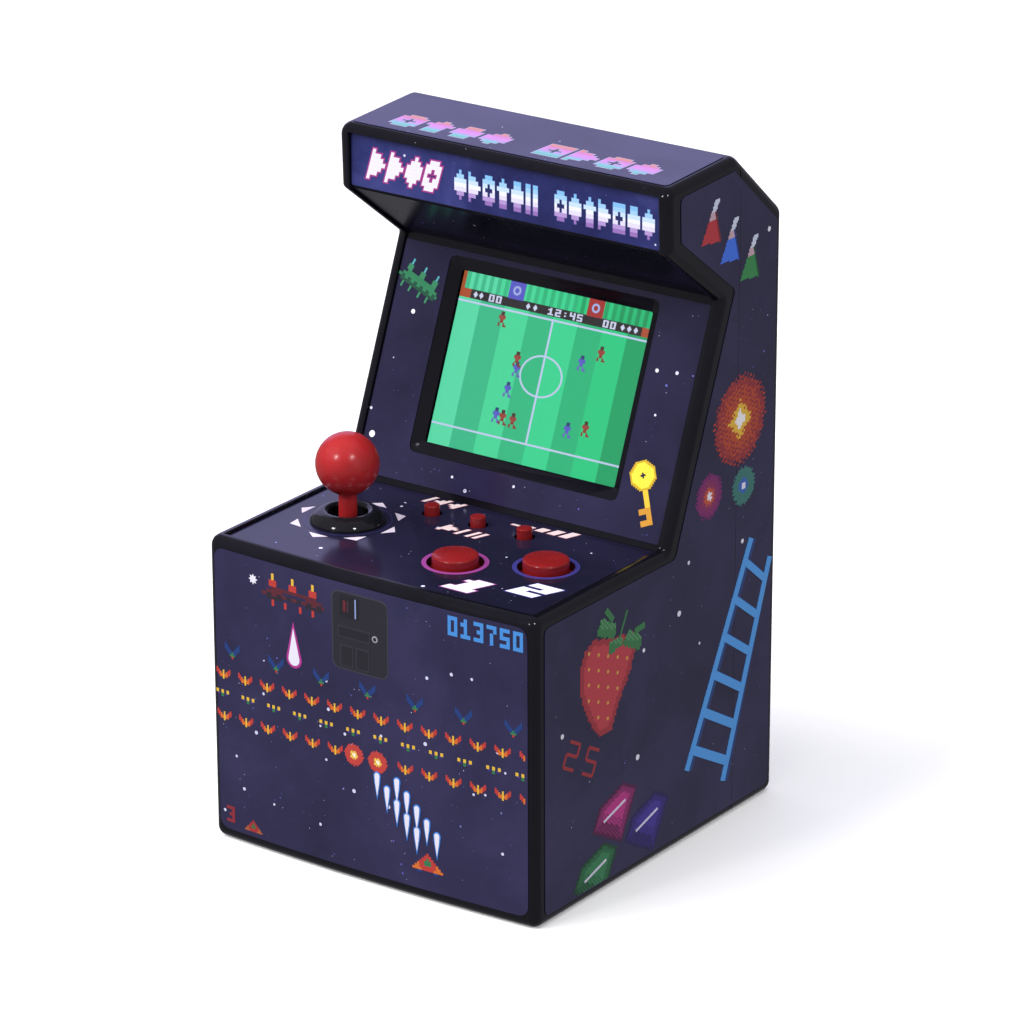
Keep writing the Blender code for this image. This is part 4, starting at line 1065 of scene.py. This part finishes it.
def draw_coin_door(page):
    """A printed coin door: a slot plate, a label panel, two flaps and a round lock."""
    middle = (-1.3, 61.2)
    page.patch(rectangle(7.8, 9.4, 1.9, middle), "3E3D48")
    page.patch(rectangle(7.45, 9.05, 1.7, middle), "2B2A32", 2)
    page.patch(rectangle(2.6, 2.6, 0.4, (-4.2, 67.1)), "25242B", 3)
    page.bar((-5.8, 65.8), (-5.1, 68.4), "6E2A33", 4)
    page.bar((-4.7, 65.8), (-4.3, 68.4), "4B3340", 4)
    page.bar((-2.55, 64.7), (-2.2, 69.3), "93A2D2", 4)
    page.patch(rectangle(4.6, 1.5, 0.4, (-2.9, 60.9)), "32313A", 3)
    page.patch(rectangle(4.1, 1.0, 0.3, (-2.9, 60.9)), "26252C", 4)
    for u in (-5.0, -0.6):
        page.patch(rectangle(1.9, 2.7, 0.3, (u, 55.2)), "34333C", 3)
        page.patch(rectangle(1.5, 2.3, 0.3, (u, 55.2)), "27262D", 4)
    page.dot((2.9, 61.0), 0.8, "9A9AA6", 3)
    page.dot((2.9, 61.0), 0.45, "2B2A32", 4, 12)


def draw_burst(page, centre, radius, pixel, colours, rays, diamond=False, mottle=None):
    """A pixelled explosion: rings of colour, from the outermost in, with ragged edges round a pale heart.

    The number rays only varies the raggedness, diamond squares off the heart, and mottle speckles the
    outermost ring.
    """
    def paint(u, v):
        rough = sin(u * 91.7 + v * 57.3 + rays)
        reach = hypot(u, v) / radius
        core = (abs(u) + abs(v)) / radius * 0.9 if diamond else reach
        limits = (0.18 + 0.03 * rough, 0.38 + 0.06 * rough, 0.6 + 0.2 * rough, 0.94 + 0.07 * rough)
        for limit, colour, how_far in zip(limits, reversed(colours), (core, core, reach, reach)):
            if how_far < limit:
                return colour
        return None

    def streaked(u, v):
        on_ray = abs(abs(u) - abs(v)) < pixel * 0.9 and 0.3 < hypot(u, v) / radius < 0.8
        colour = paint(u, v)
        speckled = colour == colours[0] and (on_ray or sin(u * 37 + v * 71) > 0.9)
        return mottle if mottle and speckled else colour

    page.raster(centre, (radius * 1.05, radius * 1.05), pixel, streaked)


TILT = -28.0              # the fruit, its number and the stones all lean by this much


LEAF_GREEN = "3D7A4D"


def draw_strawberry(page):
    """A plain strawberry with seeds, three leaves, two twigs and a thin stalk."""
    middle = (-20.0, 49.5)
    fruit = [(-5.6, 13.2), (-9.0, 11.6), (-11.2, 6.8), (-10.8, 1.4), (-7.0, -6.4), (-3.0, -11.2),
             (1.2, -11.2), (4.6, -4.6), (8.6, 0.6), (11.4, 6.6), (10.4, 9.8), (3.0, 11.0)]
    leaf = rounded([(-4.4, -1.2), (-3.2, 2.6), (3.4, 1.6), (3.8, -2.0)], [0.8] * 4, 2)
    pixel, seed_pitch = 0.75, 5          # the fruit's pixel, and how many pixels apart its seeds are

    def flesh(u, v):
        if not inside(fruit, u, v):
            return None
        column, row = round(u / pixel), round(v / pixel)
        seed = column % seed_pitch == 0 and (row + 2 * round(u / pixel / seed_pitch)) % seed_pitch == 0
        around = ((u + 1.6, v), (u - 1.6, v), (u, v + 1.6), (u, v - 1.6))
        near_edge = not all(inside(fruit, *place) for place in around)
        if seed and not near_edge:
            return "D8A44E"
        return "A0363F" if near_edge else "BC424C"

    page.raster(middle, (12.4, 14.2), pixel, flesh)
    leaves = ((-20.4, 63.2), -20, 1.0), ((-10.2, 57.2), -22, 0.95), ((-17.0, 58.6), 12, 0.72)
    for centre, turn, size in leaves:
        shape = [turned_place((0, 0), turn, a * size, b * size) for a, b in leaf]

        def green(u, v, shape=shape):
            if not inside(shape, u, v):
                return None
            sunlit = v + 0.35 * u > 0.5 and (round(u / 0.6) + round(v / 0.6)) % 2
            return "5C9868" if sunlit else LEAF_GREEN

        page.raster(centre, (6.0, 6.0), 0.6, green, 2)
    page.line((-21.0, 68.2), (-18.2, 65.0), 1.5, LEAF_GREEN, 3)
    page.line((-5.6, 59.8), (-9.6, 59.4), 1.5, LEAF_GREEN, 3)
    page.line((-12.6, 65.6), (-15.6, 59.8), 0.6, LEAF_GREEN, 3)


def draw_line_digits(page):
    """A two-figure number in thin strokes, 4.4 wide and 6 high, each figure on its own leaning grid."""
    figures = ([(0, 6), (4.4, 6), (4.4, 3.1), (0, 3.1), (0, 0), (4.4, 0)],
               [(4.4, 6), (0, 6), (0, 3.1), (4.4, 3.1), (4.4, 0), (0, 0)])
    for corner, figure in zip(((-37.4, 36.2), (-30.0, 32.2)), figures):
        places = [turned_place(corner, TILT, u, v) for u, v in figure]
        for k in range(1, len(places)):
            page.line(places[k - 1], places[k], 0.8, "9C343A", 1 + k % 2)


def draw_gem(page, centre, half, dark, mid, bright, floor_v=3.0):
    """A square-cut stone with one broad corner facet, pixelled, and a glint across it."""
    outline = [(1, 1), (1, -1), (-1, -1), (-1, -0.05), (0.05, 1)]
    outline = [turned_place((0, 0), TILT, half * a, half * b) for a, b in outline]
    rim = inset_outline(outline, [0.75] * 5)
    table = inset_outline(outline, [0.36 * half, 0.5 * half, 0.36 * half, 0.3 * half, 0.3 * half])

    def paint(u, v):
        if centre[1] + v < floor_v or not inside(outline, u, v):
            return None
        if not inside(rim, u, v):
            return dark
        checker = (round(u / 0.5) + round(v / 0.5)) % 2
        along, over = turned_place((0, 0), -TILT, u, v)
        if inside(table, u, v):
            return bright if over > -0.2 * half or checker else mid
        return dark if over < -abs(along) + 0.1 and checker else mid

    page.raster(centre, (half * 1.45, half * 1.45), 0.5, paint)
    start, end = [turned_place(centre, 16, reach * half, -0.02 * half) for reach in (-0.72, 0.66)]
    page.line(start, end, 0.55, "DCD8EC", 3)


def draw_ladder(page):
    """A pale blue ladder that widens towards its foot, over its own shadow."""
    foot, head = ((12.2, 17.8), (27.4, 9.9)), ((38.0, 66.8), (46.0, 59.8))
    for shift, colour, layer in (((1.2, -0.5), "27437E", 1), ((0.0, 0.0), "55A0EA", 3)):
        rails = [(add(foot[side], shift), add(head[side], shift if side == 0 else (0, 0))) for side in (0, 1)]
        for start, end in rails:
            page.line(start, end, 1.9, colour, layer)
        for k in range(6):
            share = 0.09 + 0.162 * k
            places = [add(start, (end[0] - start[0], end[1] - start[1]), share) for start, end in rails]
            page.line(places[0], places[1], 2.3 - 0.1 * k, colour, layer + 1)


def draw_flask(page, centre, dark, bright):
    """A small triangular flask with a pale neck, leaning with the slope behind it."""
    body = [(-4.3, -3.6), (3.6, -4.6), (1.3, 3.2), (-0.1, 3.4)]
    neck = [(-0.1, 3.0), (1.3, 2.8), (3.0, 5.4), (1.2, 5.8)]

    def paint(u, v):
        if inside(neck, u, v):
            return "D3DAF0"
        if not inside(body, u, v):
            return None
        return bright if v < 1.2 else "C9A9B8"

    page.raster(centre, (5.5, 6.0), 0.45, paint)
    page.line(add(centre, (3.4, -4.4)), add(centre, (1.2, 3.0)), 0.5, dark, 2)


def draw_side(page):
    """A side's prints, and the thin dark line where the two shells part under the film, which is painted
    shade of that seam.
    """
    # Painted shade: a dark bar over the seam that lies under the film.
    page.bar((PARTING_Y - 0.09, 3.6), (PARTING_Y + 0.09, 152.0), "14121E", 0.3)
    draw_strawberry(page)
    draw_line_digits(page)
    draw_gem(page, (-16.9, 18.6), 6.5, "581E48", "8A2C6A", "BC3A88")
    draw_gem(page, (-3.9, 11.7), 6.6, "29225A", "372C7A", "48389A")
    draw_gem(page, (-24.4, 6.6), 6.4, "1E4A32", "2C6A46", "3A8258")
    draw_ladder(page)
    draw_flask(page, (19.9, 146.6), "7A2630", "B83A42")
    draw_flask(page, (27.7, 140.4), "223A80", "4474E4")
    draw_flask(page, (35.9, 134.2), "205236", "3A8A50")
    draw_burst(page, (32.5, 97.2), 10.9, 0.6, ("93333A", "B84E30", "E8BC42", "FAF6FC"), 3, True, "B8482F")
    draw_burst(page, (20.1, 82.4), 5.5, 0.5, ("7A2A6C", "8E3560", "C4563A", "EFE6F2"), 7)
    draw_burst(page, (34.4, 80.7), 4.8, 0.5, ("3F7A74", "3F7A74", "3C66BE", "E6E6F6"), 12)
    for place, radius in (((8.4, 57.8), 0.7), ((-37.7, 43.7), 0.6), ((-7.9, 28.3), 0.7), ((34.3, 67.2), 0.55),
                          ((43.4, 139.7), 0.6), ((-5.8, 53.6), 0.5)):
        page.dot(place, radius, PALE)


BACK_ARROWS = ("x...x...x..", "x..xx..xx..", "x.xxx.xxx..", "x..xx..xx..", "x...x...x..")
PLAY_PAUSE = ("x....x..x.x", "xxx..x..x.x", "xxxx.x..x.x", "xxx..x..x.x", "x....x..x.x")
RISING_BARS = ("............xx", ".........xx.xx", "......xx.xx.xx", "...xx.xx.xx.xx", "xx.xx.xx.xx.xx")


def draw_deck(page):
    """Arrowheads and a ring round the stick, rings round the buttons, and numbers and symbols beside them."""
    stick = STICK.xy
    for k in range(8):
        turn = radians(45 * k)
        out, side = (cos(turn), sin(turn)), (-sin(turn), cos(turn))
        base = add(stick, out, 11.2)
        page.patch([add(stick, out, 13.3), add(base, side, 2.6), add(base, side, -2.6)], "D9CCDE")
    page.ring(stick, (10.3, 10.3), 0.5, "26244A", steps=96)
    for name, colour, digit, place in (
        ("button_a", "8E3E86", BROAD_ONE, (20.6, -37.7)), ("button_b", "38347A", BROAD_TWO, (33.8, -31.8)),
    ):
        middle = middle_mm(name)
        page.ring(middle.xy, (ACTION_HOLE + 1.2, ACTION_HOLE + 1.2), 1.05, colour, steps=96)
        page.sprite(digit, place, (1.44, 1.1), {"x": PALE}, slant=0.44, edge=(0.3, colour))
    for rows, place, pixel in (
        (BACK_ARROWS, (-13.4, 0.8), (1.0, 0.78)), (PLAY_PAUSE, (-0.3, -11.7), (1.0, 0.78)),
        (RISING_BARS, (14.3, 0.3), (1.1, 0.78)),
    ):
        page.sprite(rows, place, pixel, {"x": "E6D0D2"}, slant=0.35, edge=(0.13, "8E4A5E"))


CRAFT_COLOURS = {"y": "5EB4C0", "r": "3C8A62", "d": "338058", "k": "25503F"}


def draw_bezel(page):
    """A tilted saucer, and a pixelled key with a round bow, a hole, a shank and two teeth.

    Places are measured from the middle of the screen.
    """
    wide, tall = 0.5, 0.72
    page.tilted([((column - 12) * wide, (4.5 - row) * tall, CRAFT_COLOURS[letter])
                 for row, line in enumerate(SAUCER) for column, letter in enumerate(line) if letter != "."],
                (-36.1, 15.6), -20.0, wide, tall)
    for u, v, radius in ((-36.1, 8.4, 0.55), (-40.0, -21.4, 0.8), (32.1, 7.7, 0.45)):
        page.dot((u, v), radius, PALE, 1, 16)
    pixel = 0.45
    cells = []
    for row in range(-26, 9):
        for column in range(-8, 9):
            u, v = column * pixel, row * pixel
            reach = max(abs(u), abs(v), (abs(u) + abs(v)) * 0.72)
            tooth = -2.6 < u < 0 and (-11.6 < v < -10.3 or -8.6 < v < -7.4)
            if 0.5 < reach < 3.3:
                cells.append((u, v, "EFDB44" if reach < 2.9 else "C9A42C"))
            elif reach > 0.5 and (tooth or abs(u) < 0.9 and -11.6 < v < 0):
                cells.append((u, v, "E2BC3C" if v > -7.4 else "C98F34"))
    page.tilted(cells, (34.5, -16.0), 24.0, pixel, pixel)


def draw_marquee(page):
    """Two groups of chrome symbols, and a group of larger, pink-edged ones to their left."""
    middle_v = (MARQUEE_LOW.z + MARQUEE_HIGH.z) / 2
    draw_symbols(page, (1, 5, 3, 0, 4, 6, None, 3, 1, 0, 5, 2, 4, 1), -13.6, 3.92, 149.9, 7.0, CHROME,
                 edge=(0.16, "38407E"))
    draw_symbols(page, (5, 5, 1, 3), -37.4, 5.1, middle_v - 0.2, 7.4, ["F0ECF8"] * 7, slant=0.3,
                 edge=(0.36, "A8408E"))


def draw_top(page):
    """Two groups of sunset-coloured symbols."""
    draw_symbols(page, (3, 0, 4, 1, None, 2, 5, 3, 1), -35.6, 8.05, 18.2, 7.4, SUNSET, slant=0.1,
                 edge=(0.2, "A8A2C8"))


# Each runs from the screen's left to its right and grows darker: painted shade of a screen seen at a slant.
PITCH_LIGHT = ("5CE0AC", "4ADD9E", "3CDA96", "2CD086", "20C078")
PITCH_DARK = ("3AC08C", "34C086", "2CBC7E", "1EA668", "189A5E")
PLAYER = (".hh..", ".hh..", "tttt.", "tttt.", ".tt..", ".kk..", "k..k.", "k..kk")
BLUE_TEAM = {"h": "2E3A7A", "t": "5A5CC8", "k": "6464C0"}
RED_TEAM = {"h": "4A2A26", "t": "9E3A34", "k": "8A3230"}


def draw_screen(page):
    """A plain pitch with two small teams, a crowd strip and a score, measured from the screen's middle."""
    half_u, half_v = SCREEN_HALF[0] + 0.6, SCREEN_HALF[1] + 0.6
    band_low, band_high = 14.3, 16.4
    edges = [-half_u] + [-0.2 + 6.82 * k for k in range(-3, 4)] + [half_u]
    # The stripes darken from left to right: painted shade.
    for k in range(8):
        shade_of = PITCH_LIGHT if k % 2 == 0 else PITCH_DARK
        page.run((edges[k], -half_v), (edges[k + 1], band_low), shade_of[k // 2])
    page.run((-half_u, band_low), (half_u, band_high), "2A2428")
    strips = 50
    # Darker towards the right here too: painted shade.
    for k in range(strips):
        shade_of = PITCH_LIGHT if k % 2 == 0 else PITCH_DARK
        u = -half_u + 2 * half_u * k / strips
        page.run((u, band_high), (u + 2 * half_u / strips, half_v), shade_of[5 * k // strips])
    for u, colour in ((-11.4, "5A5AC8"), (10.5, "A8322E")):
        page.bar((u - 2.2, band_high - 0.15), (u + 2.2, half_v), colour, 2)
        page.ring((u, 18.3), (1.1, 1.1), 0.5, "A8B6EC", 3, 24)
    for side in (-1, 1):
        outer, near, far = side * half_u, side * (half_u - 1.0), side * (half_u - 3.0)
        page.bar((min(outer, near), band_high), (max(outer, near), half_v), "A8552E", 2)
        page.bar((min(outer, far), band_low), (max(outer, far), band_high), "B0502E", 2)
    middle, ink_colour = (band_low + band_high) / 2, "D4DAF4"
    for text, left in (("00", -18.6), ("12:45", -2.0), ("00", 13.2)):
        draw_digits(page, text, left, middle, (0.5, 0.34), ink_colour, 3)
    for u in (-22.4, -20.8, -7.6, -5.6, 18.6, 20.4, 22.2):
        diamond = [(u - 0.6, middle), (u, middle - 0.75), (u + 0.6, middle), (u, middle + 0.75)]
        page.patch(diamond, ink_colour, 3)
    line = "C4D2F4"
    page.bar((-half_u, 13.25), (half_u, 13.7), line, 2)
    page.bar((-half_u, -15.75), (half_u, -15.3), line, 2)
    page.bar((-0.4, -15.5), (0.1, 13.5), line, 3)
    page.ring((-0.1, 0.3), (5.9, 4.9), 0.42, line, 4)
    places = (
        (-13.6, 11.2, RED_TEAM), (-7.2, 3.0, RED_TEAM), (-6.8, 0.7, BLUE_TEAM), (-8.0, -4.3, BLUE_TEAM),
        (-9.6, -10.6, BLUE_TEAM), (-7.7, -10.8, RED_TEAM), (-4.8, -11.0, RED_TEAM), (10.1, 5.4, BLUE_TEAM),
        (14.7, 8.4, RED_TEAM), (10.2, -10.2, BLUE_TEAM), (14.9, -9.0, RED_TEAM),
    )
    for number, (u, v, team) in enumerate(places):
        page.sprite(PLAYER, (u, v), (0.44, 0.44), team, 5 + number % 2)


def make_page(name, node, directions, draw=None, skies=(), origin=(0, 0, 0), bend=None, glows=False):
    """One panel's print: its drawing, then for each sky the stars between.

    directions are the panel's outward, across and up.
    """
    page = Print(name, Panel(node, *directions, origin, bend), glows)
    if draw:
        draw(page)
    for sky in skies:
        page.stars(*sky)
    page.finish()


def make_artwork():
    """Every panel's print; busy circles keep the stars off the drawings."""
    flat, upright = (UPWARDS, RIGHTWARDS, BACKWARDS), (AHEAD, RIGHTWARDS, UPWARDS)
    busy = [(-1.3, 61, 12), (-20, 66, 10), (-20.3, 54, 6)]
    skies = [(190, 11, (-42, 4, 42, 71), busy), (24, 21, (-42, 4, 42, 58), busy, 0.6)]
    make_page("front_ink", "front_graphic", upright, draw_front, skies, bend=front_bend())
    busy = [(-20, 50, 15), (-15, 14, 14), (27, 38, 8), (33, 97, 12), (20, 82, 7), (34, 80, 6), (28, 140, 10)]
    skies = [(100, 12, (-43, 4, 46, 70), busy), (50, 13, (28, 70, 45, 125), busy)]
    for side, out in (("right_side", 1), ("left_side", -1)):
        outwards = (out, 0, 0), BACKWARDS, UPWARDS
        make_page(f"{side}_ink", f"{side}_graphic", outwards, draw_side, skies)
    busy = [(STICK.x, STICK.y, 13.5)]
    busy += [(*middle_mm(name).xy, 8.5) for name in ACTION_BUTTONS]
    busy += [(*middle_mm(name).xy, 3.0) for name in MENU_BUTTONS]
    make_page("deck_ink", "deck_graphic", flat, draw_deck, [(80, 14, (-41.5, -43.8, 41.5, 2.0), busy)])
    window = middle_mm("screen_window")
    facing = (0, -cos(LEAN), sin(LEAN)), RIGHTWARDS, (0, sin(LEAN), cos(LEAN))
    busy = [(-36, 16, 8), (37, -19, 9)]
    areas = (-42, -29.5, -30.5, 24), (30.5, -29.5, 42, 24), (-30, -29.5, 30, -24.5)
    skies = [(20, 15 + k, area, busy) for k, area in enumerate(areas)]
    make_page("bezel_ink", "bezel_graphic", facing, draw_bezel, skies, window)
    busy = [(u, 150, 4) for u in range(-38, 44, 4)]
    skies = [(40, 18, (-41.5, 145.5, 41.5, 156.3), busy)]
    make_page("marquee_ink", "marquee_graphic", upright, draw_marquee, skies)
    busy = [(u, 18, 5) for u in range(-36, 40, 4)]
    make_page("top_ink", "top_graphic", flat, draw_top, [(40, 19, (-42, 6, 42, 28), busy)])
    underside = (0, -0.6, -0.8), RIGHTWARDS, (0, -0.8, 0.6)
    make_page("hood_ink", "hood_graphic", underside, None, [(26, 20, (-41, -11, 41, 11))],
              middle_mm("hood_graphic"))
    make_page("screen_picture", "lcd_panel", facing, draw_screen, (), window, glows=True)


# ---------------------------------------------------------------- studio

CAMERA_AZIMUTH = 35.294           # degrees round from the player's side, towards the player's right
CAMERA_ELEVATION = 20.817
CAMERA_DISTANCE = 1226.8
CAMERA_AIM = (5.17, 0.0, 76.1)
CAMERA_LENS = 189.8


def direction(azimuth, elevation):
    """Unit vector out from the object; azimuth 0 is the player's side and 90 is the right."""
    a, e = radians(azimuth), radians(elevation)
    return Vector((sin(a) * cos(e), -cos(a) * cos(e), sin(e)))


def make_camera():
    data = bpy.data.cameras.new("camera")
    data.sensor_width = 36.0
    data.lens = CAMERA_LENS
    data.clip_start, data.clip_end = 0.05, 20.0
    camera = bpy.data.objects.new("camera", data)
    out = direction(CAMERA_AZIMUTH, CAMERA_ELEVATION)
    camera.location = (Vector(CAMERA_AIM) + out * CAMERA_DISTANCE) * MM
    camera.rotation_euler = (-out).to_track_quat("-Z", "Y").to_euler()
    bpy.context.scene.collection.objects.link(camera)
    bpy.context.scene.camera = camera


def make_lamp(name, azimuth, elevation, distance_m, size_m, watts, mirrored=True, colour=(1, 1, 1)):
    """An area lamp that points at the object; mirrored tells whether glossy surfaces show it."""
    data = bpy.data.lights.new(name, "AREA")
    data.shape = "RECTANGLE"
    data.size, data.size_y = size_m
    data.energy, data.color = watts, colour
    lamp = bpy.data.objects.new(name, data)
    out = direction(azimuth, elevation)
    lamp.location = Vector((0, 0, 0.08)) + out * distance_m
    lamp.rotation_euler = (-out).to_track_quat("-Z", "Y").to_euler()
    lamp.visible_glossy = mirrored
    bpy.context.scene.collection.objects.link(lamp)


def make_studio():
    """A pale room, soft lamps, and a floor whose faint glow lightens shadows but never reaches the object.

    Only the back panel and the two small lamps show in glossy surfaces.
    """
    world = bpy.data.worlds.new("studio")
    world.use_nodes = True
    set_inputs(world.node_tree.nodes["Background"], {"Color": (0.94, 0.92, 1.0, 1.0), "Strength": 0.22})
    bpy.context.scene.world = world
    make_lamp("overhead", 20, 80, 2.2, (2.4, 2.4), 42.0, mirrored=False)
    make_lamp("key_left", -50, 40, 1.8, (1.3, 1.3), 38.0, mirrored=False)
    make_lamp("fill_right", 75, 15, 2.2, (1.2, 1.2), 12.0, mirrored=False)
    make_lamp("back_panel", 215, 19, 2.2, (2.6, 1.6), 10.0, colour=(0.52, 0.49, 1.0))
    make_lamp("lamp_left", -14, 35, 1.6, (0.19, 0.19), 4.6)
    make_lamp("lamp_right", 58, 41, 1.6, (0.17, 0.17), 4.0)
    reach = 6.0 / MM
    pale = mottled("pale_floor", (0.86, 0.86, 0.87), (0.90, 0.90, 0.91), 3.0, (0.6, 0.75), (400.0, 0.01))
    set_inputs(shader_of(pale), {"Emission Color": (1.0, 1.0, 1.0, 1.0), "Emission Strength": 0.16})
    floor = make_piece("floor", box((-reach, -reach, -2.0), (reach, reach, -0.02)), pale)
    floor.visible_glossy = False
    floor.visible_diffuse = False
    bpy.context.scene.view_settings.view_transform = "Standard"


# ---------------------------------------------------------------- the object

# Night skies: (noise value, colour) stops.
SKY = [(0.30, (0.0180, 0.0165, 0.048)), (0.48, (0.0265, 0.0242, 0.070)), (0.66, (0.038, 0.033, 0.096))]
MARQUEE_SKY = [(0.30, (0.010, 0.012, 0.070)), (0.48, (0.026, 0.032, 0.150)), (0.66, (0.060, 0.066, 0.25))]


# A sky darkened by a share: painted shade, for printed faces that the hood and the screen panel keep from the
# light.
def darkened(stops, share):
    return [(position, tuple(c * share for c in colour)) for position, colour in stops]


def paint_cad(materials):
    """Gives each CAD node that stays in view the material of its slot in the record."""
    # The deck, hood and bezel films named here are darkened skies, which carry painted shade.
    own = {
        "marquee_graphic": "marquee_film", "hood_graphic": "hood_film",
        "bezel_graphic": "bezel_film", "deck_graphic": "deck_film",
    }
    for subpart in frame["record"]["subparts"]:
        node = frame["nodes"][subpart["node"]]
        surface = materials[own.get(subpart["node"], subpart["material_slot"])]
        if not node.material_slots:
            node.data.materials.append(surface)
        for slot in node.material_slots:
            slot.material = surface


def build():
    make_camera()
    make_studio()
    materials = {slot: mottled(*look) for slot, look in MOTTLED.items()}
    materials["printed_film"] = film_material("sky_film", SKY)
    materials["marquee_film"] = film_material("marquee_film", MARQUEE_SKY, 34.0)
    # The deck, the bezel and the hood's underside carry the same sky darkened: painted shade.
    materials["deck_film"] = film_material("deck_film", darkened(SKY, 0.37))
    materials["bezel_film"] = film_material("bezel_film", darkened(SKY, 0.62))
    materials["hood_film"] = film_material("hood_film", darkened(SKY, 0.37), 26.0, 1.45, 0.08)
    materials["window"] = glass_material()
    materials["red_plastic"] = red_material("red_plastic", 1.0)
    # The caps take the ball's red darkened to 0.55: painted shade, which makes them darker than the ball.
    button_red = red_material("button_red", 0.55)
    paint_cad(materials)
    make_front_casing(materials["casing"])
    make_rear_casing(materials["casing"])
    make_front_film(materials["printed_film"])
    make_joystick(materials["red_plastic"], materials["glossy_black"])
    make_buttons(button_red)
    make_domes(materials["dome_rubber"])
    for name in CASE_SCREWS:
        make_screw(name, "cabinet", materials["bright_steel"])
    make_screw("battery_door_screw", "battery_door", materials["bright_steel"])
    make_artwork()
    # Without this, mirror rays pass through the clear window and show the lit picture after all.
    frame["nodes"]["screen_window"].visible_glossy = False


build()
